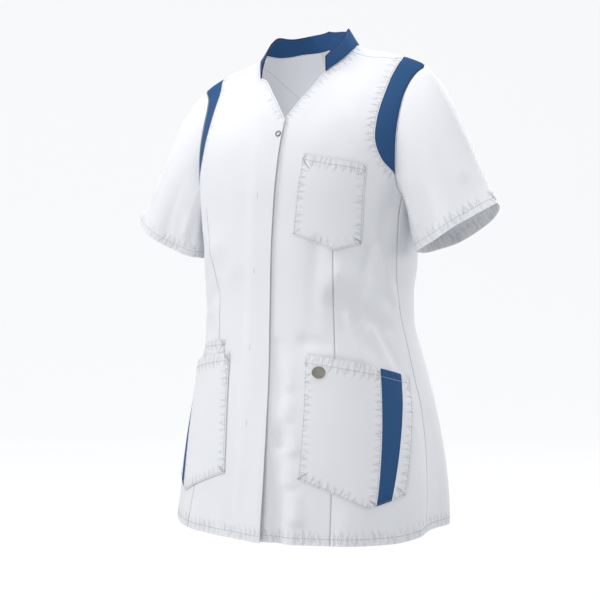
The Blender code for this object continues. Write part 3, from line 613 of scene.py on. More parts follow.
class Finish:
    """A material under construction, and the slot that it goes in."""

    def __init__(self, name, slot=None, **constants):
        self.slot = slot
        self.material = bpy.data.materials.new(name)
        self.material.use_nodes = True
        self.tree = self.material.node_tree
        self.shader = self.tree.nodes["Principled BSDF"]
        self.feed(**constants)

    def node(self, kind, settings=None, output=0, **inputs):
        """A node of any other kind, with its settings made before its sockets are filled."""
        node = self.tree.nodes.new(kind)
        for key, value in (settings or {}).items():
            setattr(node, key, value)
        for key, value in inputs.items():
            socket = next(s for s in node.inputs if s.name == key and s.enabled)
            self.fill(socket, value)
        return Wire(self.tree, node.outputs[output])

    def fill(self, socket, value):
        if isinstance(value, Wire):
            self.tree.links.new(value.socket, socket)
        else:
            socket.default_value = value

    def feed(self, **inputs):
        for key, value in inputs.items():
            self.fill(self.shader.inputs[key.replace("_", " ")], value)

    def read(self, attribute):
        """A value stored on the mesh's points."""
        return self.node("ShaderNodeAttribute", {"attribute_name": attribute}, output=2)

    def noise(self, scale, detail=2.0):
        places = self.node("ShaderNodeTexCoord", output=3)
        return self.node("ShaderNodeTexNoise", Scale=scale, Detail=detail, Vector=places)

    def clamp(self, value):
        return self.node("ShaderNodeClamp", Value=value)

    def shade(self, light, dark, share):
        """A colour between two, by a share."""
        return self.node("ShaderNodeMix", {"data_type": "RGBA"}, output=2, Factor=share, A=light, B=dark)

    def bump(self, height, distance, strength, **below):
        """Relief of a height, over the relief below it."""
        return self.node("ShaderNodeBump", Height=height, Distance=distance, Strength=strength, **below)


RIB = 0.075
SEAM_LINE = 0.075
SEAM_SHADE = 0.9
MOTTLE = 0.16
# Puckers beside a row of stitches, in relief and in painted shade: wide ones, and finer tucks that slant the
# other way
Pucker = namedtuple("Pucker", "every slant wander least gain middle reach share")
PUCKERS = (
    Pucker(1.05, 1.3, 6.5, 0.25, 1.6, 0.50, 0.52, 1.0),
    Pucker(0.68, -3.2, 9.0, 0.30, 1.8, 0.28, 0.36, 0.8),
)


def twill(name, slot, colour, dark, seam_colour, pucker_shade):
    """Twill cloth: ribs, a mottled tone, dark seam lines, and puckers along the stitching, darkened with
    painted shade.
    """
    finish = Finish(name, slot, Specular_IOR_Level=0.2)
    across, along = finish.read("across"), finish.read("along")
    gap, row = finish.read("stitch_gap"), finish.read("stitch_run")
    seam = finish.read("seam_gap").bell(SEAM_LINE)
    ribs = ((across + along) * (2 * np.pi / RIB)).sine()
    threads = finish.noise(900.0, 1.0)
    tone = finish.noise(7.0, 3.0)
    bend = finish.noise(42.0, 1.0)
    uneven = finish.noise(60.0, 1.0)
    dashes = 0.0
    for kind in PUCKERS:
        phase = row * (2 * np.pi / kind.every) + gap * kind.slant + bend * kind.wander
        dash = finish.clamp((phase.sine() - kind.least) * kind.gain)
        dashes = dash * (gap - kind.middle).bell(kind.reach) * kind.share + dashes
    pucker = finish.clamp(dashes) * finish.clamp((uneven - 0.22) * 2.6)
    # The colour darkens with the mottle, the cloth's own uneven tone, and with the puckers, as painted shade
    # in their creases
    cloth = finish.shade(colour, dark, finish.clamp(pucker * pucker_shade + (tone - 0.5) * MOTTLE))
    finish.feed(Base_Color=finish.shade(cloth, seam_colour, seam * SEAM_SHADE), Roughness=tone * 0.08 + 0.84)
    relief = finish.bump(ribs * 0.6 + threads, 0.00008, 0.6)
    relief = finish.bump(pucker * -1.0, 0.0010, 0.8, Normal=relief)
    finish.feed(Normal=finish.bump(seam * -1.0, 0.0008, 0.8, Normal=relief))
    return finish


# Each twill's second colour is its darker mottle and also the painted shade of its puckers
WHITE = twill("white_twill_cloth", "white_twill", (0.87, 0.875, 0.895, 1), (0.55, 0.56, 0.61, 1),
              (0.16, 0.16, 0.18, 1), 0.42)
DYED = (0.024, 0.088, 0.225, 1)
DYED_MOTTLE_AND_SHADE = (0.010, 0.040, 0.120, 1)
BLUE = twill("blue_twill_cloth", "blue_twill", DYED, DYED_MOTTLE_AND_SHADE, (0.006, 0.02, 0.07, 1), 0.3)
COLLAR_BLUE = twill("collar_twill_cloth", "blue_twill", DYED, DYED_MOTTLE_AND_SHADE, (0.035, 0.010, 0.045, 1), 0.2)

# Metres in a centimetre, how thick the cloth is, and the sharpest angle that is shaded smooth
CM = 0.01
CLOTH = 0.08
SMOOTH_TO = np.radians(60)
Row = namedtuple("Row", "line offset")
# What a piece is cut to before it is sewn, in metres and square metres, and how it is held
Cut = namedtuple("Cut", "width length area held rests_on")
# Rows set in this far or more are hems, and pucker the cloth on both their sides
HEM_LEAST = 0.6
# How far off a point lies that has no row near it, and how far the rows' puckers are out of step
NO_ROW = 50.0
OUT_OF_STEP = 57.0
BATCH = 2000


def near(points, line):
    """How far each point lies from a line of points, and how far along it."""
    starts, steps = line[:-1], np.diff(line, axis=0)
    lengths = np.linalg.norm(steps, axis=1)
    before = lengths_along(line)[:-1]
    flat_points = points.reshape(-1, 3)
    gaps, runs = np.zeros(len(flat_points)), np.zeros(len(flat_points))
    for first in range(0, len(flat_points), BATCH):
        rest = flat_points[first : first + BATCH, None] - starts[None]
        share = np.clip((rest * steps).sum(axis=-1) / (lengths**2), 0, 1)
        away = np.linalg.norm(rest - share[..., None] * steps, axis=-1)
        best = away.argmin(axis=1)
        rows = np.arange(len(best))
        gaps[first : first + BATCH] = away[rows, best]
        runs[first : first + BATCH] = before[best] + share[rows, best] * lengths[best]
    return gaps.reshape(points.shape[:-1]), runs.reshape(points.shape[:-1])


def nearest(points, rows):
    """The gap to the nearest of several stitched or seamed rows, and the run along it."""
    gap = np.full(points.shape[:-1], NO_ROW)
    along = np.zeros(points.shape[:-1])
    for number, row in enumerate(rows):
        away, run_along = near(points, row.line)
        away = away - row.offset
        if row.offset > HEM_LEAST:
            away = np.abs(away)
        closer = np.abs(away) < np.abs(gap)
        gap[closer] = away[closer]
        along[closer] = run_along[closer] + OUT_OF_STEP * number
    return gap, along


def reach_of(points, axis):
    """How far each point of a grid lies from its first row or column, along the cloth."""
    first = points.take([0], axis=axis)
    return np.linalg.norm(np.diff(points, axis=axis, prepend=first), axis=-1).cumsum(axis=axis)


def normals_of(points, ring=False):
    """Unit normals of a grid of points whose columns go round and whose rows go along."""
    if ring:
        wide = np.concatenate([points[:, -2:-1], points, points[:, 1:2]], axis=1)
        round_step = (wide[:, 2:] - wide[:, :-2]) / 2
    else:
        round_step = np.gradient(points, axis=1)
    normal = np.cross(round_step, np.gradient(points, axis=0))
    return normal / np.linalg.norm(normal, axis=-1, keepdims=True)


def shell(node, outer, normal, finish, stitched=(), seamed=(), thick=CLOTH, ring=False):
    """A thin closed shell of cloth in a grid of points, carrying what its material reads."""
    name = node + "_cloth"
    stitch_gap, stitch_run = nearest(outer, stitched)
    values = {
        "stitch_gap": stitch_gap, "stitch_run": stitch_run, "seam_gap": nearest(outer, seamed)[0],
        "across": reach_of(outer, 1), "along": reach_of(outer, 0),
    }
    rows, count = outer.shape[:2]
    inner = outer - normal * np.broadcast_to(thick, (rows, count))[..., None]
    bm = bmesh.new()
    bmesh.ops.create_grid(bm, x_segments=count - 1, y_segments=rows - 1, size=1)
    lining = bm.verts.layers.float_vector.new("lining")
    layers = {key: bm.verts.layers.float.new(key) for key in values}
    flat_values = {key: value.ravel().tolist() for key, value in values.items()}
    ordered = sorted(bm.verts, key=lambda vert: (round(vert.co.y, 6), round(vert.co.x, 6)))
    places = (outer.reshape(-1, 3) * CM).tolist()
    insides = (inner.reshape(-1, 3) * CM).tolist()
    for index, vert in enumerate(ordered):
        vert.co = places[index]
        vert[lining] = insides[index]
        for key, layer in layers.items():
            vert[layer] = flat_values[key][index]
    if ring:
        bmesh.ops.remove_doubles(bm, verts=bm.verts, dist=1e-6)
    made = bmesh.ops.extrude_face_region(bm, geom=bm.faces[:])
    for item in made["geom"]:
        if isinstance(item, bmesh.types.BMVert):
            item.co = item[lining]
    bmesh.ops.recalc_face_normals(bm, faces=bm.faces)
    mesh = meshed(name, bm)
    mesh.attributes.remove(mesh.attributes["lining"])
    mesh.materials.append(finish.material)
    mesh.shade_smooth()
    mesh.set_sharp_from_angle(angle=SMOOTH_TO)
    piece = placed(name, mesh)
    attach(piece, "root")
    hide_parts(node)


# Stitching
#
# Rows of white or blue thread hold the seams, hems and pockets. Each stitch is a small rounded stroke
# that lies in the cloth, three to a centimetre.
# The white thread is coloured dark grey, as painted shade where its stitches sink into the cloth
SHADED_THREAD = Finish("white_thread_shaded", "white_twill", Base_Color=(0.27, 0.275, 0.30, 1), Roughness=0.7)
BRIGHT_THREAD = Finish("bright_thread", "blue_twill", Base_Color=(0.72, 0.74, 0.80, 1), Roughness=0.7)
for thread in (SHADED_THREAD, BRIGHT_THREAD):
    thread.feed(Normal=thread.bump(thread.noise(2500.0), 0.0001, 0.5))
STITCH = 0.32
STITCH_GAP = 0.12
THREAD_WIDE = 0.07
THREAD_RISE = 0.012
STITCH_BATCH = 40
# A grid, seen with each of its sides as the first row
SIDES = {
    "left": lambda grid: grid.swapaxes(0, 1), "right": lambda grid: grid[:, ::-1].swapaxes(0, 1),
    "bottom": lambda grid: grid, "top": lambda grid: grid[::-1],
}


def inland(points, normal, offset, side="bottom"):
    """A row of points with their normals, so far in from a side of a grid, on its surface."""
    points, normal = SIDES[side](points), SIDES[side](normal)
    reach = reach_of(points, 0)
    last = np.clip((reach < offset).sum(axis=0), 1, len(points) - 1)
    column = np.arange(points.shape[1])
    before, after = reach[last - 1, column], reach[last, column]
    share = ((offset - before) / (after - before))[:, None]
    place, out = [
        (1 - share) * grid[last - 1, column] + share * grid[last, column]
        for grid in (points, normal)
    ]
    return place + out * THREAD_RISE, out


def stitches(name, rows, finish=SHADED_THREAD):
    """Stitches along rows of points with their normals."""
    whole = bmesh.new()
    for line, normal in rows:
        lengths = lengths_along(line)
        starts = np.arange(0, lengths[-1] - STITCH, STITCH)
        for first in range(0, len(starts), STITCH_BATCH):
            batch = bmesh.new()
            for start in starts[first : first + STITCH_BATCH]:
                places = [start + STITCH_GAP / 2, start + STITCH - STITCH_GAP / 2]
                ends = [Vector([np.interp(at, lengths, line[:, axis]) for axis in range(3)]) for at in places]
                off = Vector([np.interp(start, lengths, normal[:, axis]) for axis in range(3)])
                way = ends[1] - ends[0]
                length = way.length
                way.normalize()
                out = (off - way * way.dot(off)).normalized()
                axes = (way.cross(out) * THREAD_WIDE / 2, out * THREAD_WIDE / 2, way * length / 2)
                turned = Matrix(axes).transposed().to_4x4()
                place = Matrix.Translation((ends[0] + ends[1]) / 2 * CM) @ Matrix.Scale(CM, 4)
                bmesh.ops.create_uvsphere(batch, u_segments=6, v_segments=5, radius=1, matrix=place @ turned)
            batch_mesh = meshed("batch", batch)
            whole.from_mesh(batch_mesh)
            bpy.data.meshes.remove(batch_mesh)
    bmesh.ops.recalc_face_normals(whole, faces=whole.faces)
    mesh = meshed(name, whole)
    mesh.materials.append(finish.material)
    mesh.shade_smooth()
    piece = placed(name, mesh)
    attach(piece, "root")


# Fronts
#
# Each front is cut in one with a long dart seam from the bust to the hem. The right front laps over
# the left and closes with hidden press studs; the neck edge is turned and stitched.
NECK_STITCH = 0.25
INSERT_STITCH = 0.2
HEM_STITCH = 0.95
HEM_DEEP = 2.0
HEM_THICK = 0.16
HEM_SOFT = 0.2
SEAM_DIP = 0.05
SEAM_DIP_WIDE = 0.16
# The dart seam shows from the hem up to the bust, and goes on under the chest pocket
DART_TOP_ROW = (SIDE_STEPS + 4) * FINE
DART_COLUMN = NEAR_STEPS * FINE
FRONT_ROWS = []


def on_cloth(places, rise=0.0):
    """Points at some places of the creased cloth, raised by so much, and the normals there."""
    turn, climb = places[..., 0], places[..., 1]
    normal = outward(turn, climb)
    return torso(turn, climb) + normal * (creases(turn, climb) + rise)[..., None], normal


def dipped(outer, normal, seams, depth=SEAM_DIP):
    """A grid of points, drawn in along its seams."""
    gap, _ = nearest(outer, seams)
    return outer - normal * (depth * np.exp(-((gap / SEAM_DIP_WIDE) ** 2)))[..., None]


def hemmed(outer, edge):
    """How thick the cloth is at each point of a grid that has a turned hem along an edge."""
    gap, _ = near(outer, edge)
    return CLOTH + (HEM_THICK - CLOTH) * smooth_step((HEM_DEEP - gap) / HEM_SOFT)


def dart_column(low, high, fine):
    """The places of a dart seam, on to the shoulder seam."""
    return join(run(low, SIDE_STEPS * fine), run(high, (ROWS - SIDE_STEPS) * fine, DART_EASE))


def front(edge, v_edge, dart):
    """A left front's grid, with its dart seam along one of its columns."""
    inner = to_turns(join(run(edge, EDGE_STEPS * FINE), run(v_edge, V_STEPS * FINE),
                          run(NECK_FRONT, NECK_STEPS * FINE)))
    outer = join(run(SIDE_SEAM, SIDE_STEPS * FINE), run(UNDERARM_FRONT, UNDERARM_STEPS * FINE),
                 run(INSERT_FRONT_TIP, FINE), run(INSERT_FRONT_INNER, INSERT_STEPS * FINE, TIP_EASE))
    near_shares, far_shares = crowded(DART_COLUMN), crowded(FAR_STEPS * FINE)
    split = NEAR_STEPS / (NEAR_STEPS + FAR_STEPS)
    shares = np.concatenate([split * near_shares, split + (1 - split) * far_shares[1:]])
    shoulder = to_turns(run_at(SHOULDER_SEAM, shares))
    dart[-1] = shoulder[DART_COLUMN]
    near_part = blend(shoulder[: DART_COLUMN + 1], inner, dart, near_shares)
    far_part = blend(shoulder[DART_COLUMN:], dart, outer, far_shares)
    return np.concatenate([near_part, far_part[:, 1:]], axis=1)


def mirror_out(table):
    """A table of places with its distances turned to the other side."""
    return tuple(OutPlace(-row.out, row.climb) for row in table)


def front_panel(side_name, places, lift=0.0):
    """A front's shell. Its dart is seamed, and its neck, insert edge and hem are stitched."""
    outer, normal = on_cloth(places, lift)
    left_side = side_name == "left"
    middle, side, dart = (0, -1, DART_COLUMN) if left_side else (-1, 0, -1 - DART_COLUMN)
    neck_edge, side_edge = ("left", "right") if left_side else ("right", "left")
    v_start = EDGE_STEPS * FINE
    tip = (SIDE_STEPS + UNDERARM_STEPS + 1) * FINE
    rows = [Row(outer[v_start:, middle], NECK_STITCH), Row(outer[tip:, side], INSERT_STITCH),
            Row(outer[0], HEM_STITCH)]
    seams = [Row(line, 0) for line in (outer[:DART_TOP_ROW, dart], outer[: tip + 1, side], outer[-1])]
    outer = dipped(outer, normal, seams)
    FRONT_ROWS.append(inland(outer[v_start:], normal[v_start:], NECK_STITCH, neck_edge))
    FRONT_ROWS.append(inland(outer[tip:], normal[tip:], INSERT_STITCH, side_edge))
    FRONT_ROWS.append(inland(outer, normal, HEM_STITCH))
    shell("front_" + side_name, outer, normal, WHITE, rows, seams, hemmed(outer, outer[0]))


left_places = front(LEFT_EDGE, LEFT_V, to_turns(dart_column(DART_LOW, DART_HIGH, FINE)))
# The right front's seam bends out to the armhole at its top, and towards the side at the hem
RIGHT_DART_LOW = turn_places(
    (37.5, -44.2), (35, -38), (31.5, -28), (29.2, -18), (30.6, -11.5), (35.4, -5.6), (38.2, -2),
)
RIGHT_DART_HIGH = turn_places((38.2, -2), (42.5, 3.8), (42, 10), (35, 18), (31, 24), (30, 29.4))
right_dart = dart_column(RIGHT_DART_LOW, RIGHT_DART_HIGH, FINE)
right_places = front(mirror_out(RIGHT_EDGE), mirror_out(RIGHT_V), right_dart)[:, ::-1] * np.array([-1, 1])
front_panel("left", left_places)
front_panel("right", right_places, lap(right_places[..., 0], right_places[..., 1]))
stitches("front_stitches", FRONT_ROWS)
# Bar tacks hold the hidden stud strip to the right front, at each stud
TACKS = turn_places((-2.3, 3.5), (-3.7, -6.8), (-5.5, -17.6), (-5.0, -28.3))
TACK_LONG = 1.0
tack_rows = []
for tack in TACKS:
    line = np.array([(tack.turn, tack.climb + at) for at in np.linspace(-TACK_LONG / 2, TACK_LONG / 2, 5)])
    tack_rows.append(on_cloth(line, lap(line[:, 0], line[:, 1]) + THREAD_RISE))
stitches("bar_tacks", tack_rows)

# Back
#
# One piece, with a long dart each side of the waist. Its neck is finished by a facing on the inside.
BACK_SIDE_COLUMNS = (NEAR_STEPS + FAR_STEPS) * BACK_FINE
NECK_COLUMNS = slice(BACK_SIDE_COLUMNS, BACK_SIDE_COLUMNS + NECK_BACK_STEPS * BACK_FINE + 1)
BACK_TIP = (SIDE_STEPS + UNDERARM_STEPS + 1) * BACK_FINE
# The back's darts run from 10 cm above the hem to below the shoulder blades
BACK_DART_ROWS = slice(4 * BACK_FINE, (SIDE_STEPS + 2) * BACK_FINE)


def back():
    """The back's grid, from the wearer's left side seam round to the right one."""
    k = BACK_FINE
    side_shares, middle_shares = crowded(BACK_SIDE_COLUMNS), crowded(NECK_BACK_STEPS * k)
    outer = join(
        run(SIDE_SEAM, SIDE_STEPS * k), behind(run(UNDERARM_BACK, UNDERARM_STEPS * k)),
        behind(run(INSERT_BACK_TIP, k)), behind(run(INSERT_BACK_INNER, INSERT_STEPS * k, TIP_EASE)),
    )
    shoulder = behind(to_turns(run_at(SHOULDER_SEAM, side_shares)))[::-1]
    shoulder[:, 1] = 2 * RIDGE - shoulder[:, 1]
    neck = behind(to_turns(run_at(NECK_BACK, middle_shares), back=True))
    dart = behind(to_turns(dart_column(BACK_DART_LOW, BACK_DART_HIGH, k), back=True))
    flip, full_turn = np.array([-1, 1]), np.array([360, 0])
    dart[-1] = shoulder[-1]
    other_dart = dart * flip + full_turn
    neck[0], neck[-1] = dart[-1], other_dart[-1]
    side = blend(shoulder, outer, dart, side_shares)
    middle = blend(neck, dart, other_dart, middle_shares)
    other_side = side[:, ::-1] * flip + full_turn
    return np.concatenate([side, middle[:, 1:], other_side[:, 1:]], axis=1)


back_places = back()
back_outer, back_normal = on_cloth(back_places)
back_lines = [back_outer[BACK_DART_ROWS, column] for column in (BACK_SIDE_COLUMNS, -1 - BACK_SIDE_COLUMNS)]
back_lines += [back_outer[: BACK_TIP + 1, 0], back_outer[: BACK_TIP + 1, -1], back_outer[-1]]
back_seams = [Row(line, 0) for line in back_lines]
back_rows = [
    Row(back_outer[-1, NECK_COLUMNS], NECK_STITCH), Row(back_outer[BACK_TIP:, 0], INSERT_STITCH),
    Row(back_outer[BACK_TIP:, -1], INSERT_STITCH), Row(back_outer[0], HEM_STITCH),
]
back_outer = dipped(back_outer, back_normal, back_seams)
shell("back", back_outer, back_normal, WHITE, back_rows,
      back_seams, hemmed(back_outer, back_outer[0]))
stitches("back_stitches", [
    inland(back_outer, back_normal, HEM_STITCH),
    inland(back_outer[:, NECK_COLUMNS], back_normal[:, NECK_COLUMNS], NECK_STITCH, "top"),
    inland(back_outer[BACK_TIP:], back_normal[BACK_TIP:], INSERT_STITCH, "left"),
    inland(back_outer[BACK_TIP:], back_normal[BACK_TIP:], INSERT_STITCH, "right"),
])

# Shoulder inserts
#
# A blue crescent is let in over each shoulder, between the body and the sleeve. The body's cloth is
# topstitched along its inner edge.
SEAM_GAP = 0.032
INSERT_ACROSS = 3 * 8
INSERT_ROWS = 9 * 9
INSERT_SHIFT = 1.3
INSERT_DIP = 1.4 * SEAM_DIP
TIP_DRAW = 0.10 / 9
BOTH_SIDES = (("left", np.array([1, 1, 1])), ("right", np.array([-1, 1, 1])))


def inset(points, normal):
    """How far each point of a grid moves in from its four sides, so that a seam keeps its gap."""
    moved = np.zeros(points.shape)
    for view in SIDES.values():
        edge, beside = view(points)[:2]
        inwards = np.cross(np.gradient(edge, axis=0), view(normal)[0])
        inwards /= np.linalg.norm(inwards, axis=-1, keepdims=True)
        if (inwards * (beside - edge)).sum() < 0:
            inwards = -inwards
        view(moved)[0] += inwards * SEAM_GAP / 2
    return moved


def insert_half(inner, outer):
    """Half of an insert: places from its tip up to the shoulder, between its two edges."""
    share = crowded(INSERT_ACROSS)[None, :, None]
    edges = [run(table, INSERT_ROWS, TIP_EASE)[:, None] for table in (inner, outer)]
    return edges[0] * (1 - share) + edges[1] * share


insert_front = on_cloth(insert_half(INSERT_FRONT_INNER, INSERT_FRONT_OUTER))
insert_back = on_cloth(behind(insert_half(INSERT_BACK_INNER, INSERT_BACK_OUTER))[::-1][1:])
insert_outer, insert_normal = [np.concatenate(pair) for pair in zip(insert_front, insert_back)]
insert_outer = insert_outer + INSERT_SHIFT * inset(insert_outer, insert_normal)
for tip, beside in ((0, 1), (-1, -2)):
    along_tip = insert_outer[beside] - insert_outer[tip]
    insert_outer[tip] += TIP_DRAW * along_tip / np.linalg.norm(along_tip, axis=-1, keepdims=True)
insert_seams = [Row(insert_outer[:, 0], 0), Row(insert_outer[:, -1], 0)]
insert_outer = dipped(insert_outer, insert_normal, insert_seams, INSERT_DIP)
for side_name, flip in BOTH_SIDES:
    shell("insert_" + side_name, insert_outer * flip, insert_normal * flip, BLUE,
          [], [Row(row.line * flip, 0) for row in insert_seams])

# Sleeves
#
# Short set-in sleeves, joined to the inserts and to the body at the underarm. Each hangs out from a
# rounded head, and its hem is turned up and stitched.
CUFF_OUTER = np.array([30.7, -2.4, -24.4])
CUFF_INNER = np.array([18.9, -2.4, -30.8])
CUFF_FRONT = 3.2
CUFF_BACK = 5.6
CUFF_SAG = 0.7
SLEEVE_ROWS = 9 * 9
SLEEVE_FULL = 0.45
SLEEVE_FULL_TO = 1.15
ALONG_SQUEEZE = 0.4
# The seam's gap at the armhole, into the hole and outwards
ARMHOLE_IN = 1.3
ARMHOLE_OUT = 0.7
# How far the sleeve rises off the armhole, from the shoulder down its front and up its back
HeadRise = namedtuple("HeadRise", "round height")
HEAD_RISE = (HeadRise(0, 8.2), HeadRise(0.2, 4.5), HeadRise(0.5, 4.0), HeadRise(0.8, 0.2), HeadRise(1, 8.2))
SleeveFold = namedtuple("SleeveFold", "round down to_round to_down width height")
SLEEVE_FOLDS = (
    SleeveFold(0.14, 0.30, 0.22, 0.95, 0.045, 0.30),
    SleeveFold(0.30, 0.35, 0.32, 1.00, 0.050, -0.35),
    SleeveFold(0.66, 0.30, 0.62, 1.00, 0.050, -0.35),
    SleeveFold(0.84, 0.25, 0.78, 0.95, 0.050, -0.20),
    # finer ones
    SleeveFold(0.06, 0.15, 0.10, 0.70, 0.026, 0.20),
    SleeveFold(0.22, 0.20, 0.27, 0.85, 0.024, -0.22),
    SleeveFold(0.38, 0.10, 0.36, 0.70, 0.026, 0.26),
    SleeveFold(0.45, 0.10, 0.41, 0.75, 0.022, -0.20),
    SleeveFold(0.72, 0.20, 0.70, 0.90, 0.024, 0.24),
    SleeveFold(0.92, 0.20, 0.88, 0.80, 0.024, -0.20),
)


def armhole():
    """The left armhole's points and normals, from the shoulder down the front, round, and up the back."""
    places = join(
        run(INSERT_FRONT_OUTER, INSERT_STEPS * FINE, TIP_EASE)[::-1],
        run(UNDERARM_FRONT, UNDERARM_STEPS * FINE)[::-1],
        behind(run(UNDERARM_BACK, UNDERARM_STEPS * FINE)),
        behind(run(INSERT_BACK_OUTER, INSERT_STEPS * FINE, TIP_EASE)),
    )
    turn, climb = places[:, 0], places[:, 1]
    normal = outward(turn, climb)
    return torso(turn, climb) + normal * folds(turn, climb, FOLDS)[:, None], normal


def cuff(steps):
    """The cuff's points, from its outer end round the front and back again."""
    angle = join(np.linspace(0, np.pi, steps + 1), np.linspace(np.pi, 2 * np.pi, steps + 1))
    middle, reach = (CUFF_OUTER + CUFF_INNER) / 2, (CUFF_OUTER - CUFF_INNER) / 2
    depth = np.where(np.sin(angle) > 0, -CUFF_FRONT, -CUFF_BACK)
    sag = np.abs(np.sin(angle)) * CUFF_SAG
    level = np.stack([np.zeros(len(angle)), np.sin(angle) * depth, -sag], axis=1)
    return middle + np.cos(angle)[:, None] * reach + level


def sleeve_points():
    """The left sleeve's outer surface, rows from the armhole to the cuff."""
    start, normal = armhole()
    tangent = np.gradient(start, axis=0)
    tangent[0] = tangent[-1] = (start[1] - start[-2]) / 2
    tangent /= np.linalg.norm(tangent, axis=1, keepdims=True)
    start = start + (ARMHOLE_IN * np.cross(normal, tangent) + ARMHOLE_OUT * normal) * SEAM_GAP
    end = cuff((INSERT_STEPS + UNDERARM_STEPS) * FINE)
    place = np.linspace(0, 1, len(start))
    rise = curve(place, *columns(HEAD_RISE))
    down = even(SLEEVE_ROWS)[:, None, None]
    points = start + (end - start) * down + normal * rise * down * (1 - down) ** 3
    outside = np.clip(np.cos(2 * np.pi * place), 0, 1)[None]
    height = SLEEVE_FULL * outside * np.sin(np.pi * np.clip(down[..., 0] * SLEEVE_FULL_TO, 0, 1))
    for fold in SLEEVE_FOLDS:
        fold_line = np.array([fold.to_round - fold.round, fold.to_down - fold.down])
        here = np.stack(np.broadcast_arrays(place[None] - fold.round, down[..., 0] - fold.down), axis=-1)
        share = np.clip(here @ fold_line / (fold_line @ fold_line), 0, 1)
        away = np.linalg.norm((here - share[..., None] * fold_line) * np.array([1, ALONG_SQUEEZE]), axis=-1)
        height += fold.height * share * np.exp(-((away / fold.width) ** 2))
    return points + normals_of(points, ring=True) * height[..., None]


sleeve_outer = sleeve_points()
sleeve_normal = normals_of(sleeve_outer, ring=True)
if (sleeve_normal[-1, 0] * (CUFF_OUTER - CUFF_INNER)).sum() < 0:
    sleeve_normal = -sleeve_normal
sleeve_thick = hemmed(sleeve_outer, sleeve_outer[-1])
for side_name, flip in BOTH_SIDES:
    outer, normal = sleeve_outer * flip, sleeve_normal * flip
    shell("sleeve_" + side_name, outer, normal, WHITE,
          [Row(outer[-1], HEM_STITCH)], [Row(outer[0], 0)], sleeve_thick, ring=True)
    stitches(f"sleeve_{side_name}_stitches", [inland(outer, normal, HEM_STITCH, "top")])

# Collar and neck facing
#
# The blue stand is open at the front. Its top and front edges are bound with a narrow darker edge.
# Inside the back neck lies a facing, and a small blank tab hangs under the stand.
Stand = namedtuple("Stand", "share up inwards forwards")
STAND = (
    Stand(0.0, 2.8, 0.6, 0.0),
    Stand(0.3, 2.8, 1.3, 0.0),
    Stand(0.55, 2.5, 2.0, 0.1),
    Stand(0.8, 2.3, 1.0, 0.3),
    Stand(1.0, 2.0, 0.2, 0.5),
)
STAND_LEAN = 0.4
# How far out from the centre line the stand leans sideways in full
SIDE_FROM = 4
COLLAR_GAP = 1.5 * SEAM_GAP
COLLAR_ROWS = 4 * 6
COLLAR_WALL = 0.18
COLLAR_FINE = 7


def neck_seam():
    """Points and normals of the neck seam, from the right front end round the back to the left one."""
    left = to_turns(run(NECK_FRONT, NECK_STEPS * COLLAR_FINE))
    rear = behind(to_turns(run(NECK_BACK, NECK_BACK_STEPS * COLLAR_FINE), back=True))
    places = np.concatenate([left * np.array([-1, 1]), rear[::-1][1:-1], left[::-1]])
    return torso(places[:, 0], places[:, 1]), outward(places[:, 0], places[:, 1])


def collar_points():
    """The collar's outer surface, rows from its seam to its top edge."""
    seam, normal = neck_seam()
    middle = len(seam) // 2
    lengths = lengths_along(seam)
    share = np.abs(lengths - lengths[middle]) / lengths[middle]
    up, inwards, forwards = np.moveaxis(curve(share, *columns(STAND)), -1, 0)
    centre = seam.mean(axis=0)
    to_centre = (centre - seam) * np.array([1, 1, 0])
    to_centre /= np.linalg.norm(to_centre, axis=1, keepdims=True)
    side = np.sign(seam[:, 0]) * np.minimum(1, np.abs(seam[:, 0]) / SIDE_FROM)
    behind_middle = np.where(seam[:, 1] > centre[1], -1, 0)
    backwards = behind_middle * inwards * (1 - np.abs(side)) - forwards
    lean = np.stack([STAND_LEAN - side * inwards, backwards, up], axis=1)
    rows = crowded(COLLAR_ROWS)[:, None, None]
    return seam + normal * SEAM_GAP + to_centre * COLLAR_GAP + lean * rows


collar_outer = collar_points()
bound_edge = [Row(line, 0) for line in (collar_outer[-1], collar_outer[:, 0], collar_outer[:, -1])]
shell("collar", collar_outer, normals_of(collar_outer), COLLAR_BLUE,
      [], bound_edge, COLLAR_WALL)

FACING_ROWS = slice(-4 * BACK_FINE - 1, None)
FACING_COLUMNS = slice(9 * BACK_FINE, 25 * BACK_FINE + 1)
FACING_DEEP = 0.05
FACING_WALL = 0.06
FACING_STITCH = 0.3
facing_outer, facing_normal = on_cloth(back_places[FACING_ROWS, FACING_COLUMNS], -CLOTH - FACING_DEEP)
facing_rim = [Row(line, 0) for line in (facing_outer[0], facing_outer[:, 0], facing_outer[:, -1])]
shell("neck_facing", facing_outer, facing_normal, WHITE,
      [Row(facing_outer[0], FACING_STITCH)], facing_rim, FACING_WALL)
# A fine row of stitches runs down across the facing on each side of the neck
FACING_LINE = turn_places((204.0, 29.5), (199.9, 24.5), (195.5, 21.1), (189.0, 16.0))
facing_rows = []
for turned_over in (1, -1):
    line = run(FACING_LINE, 40) * np.array([turned_over, 1])
    points, out = on_cloth(line, -CLOTH - FACING_DEEP - FACING_WALL - THREAD_RISE)
    facing_rows.append((points, -out))
stitches("neck_facing_stitches", facing_rows)

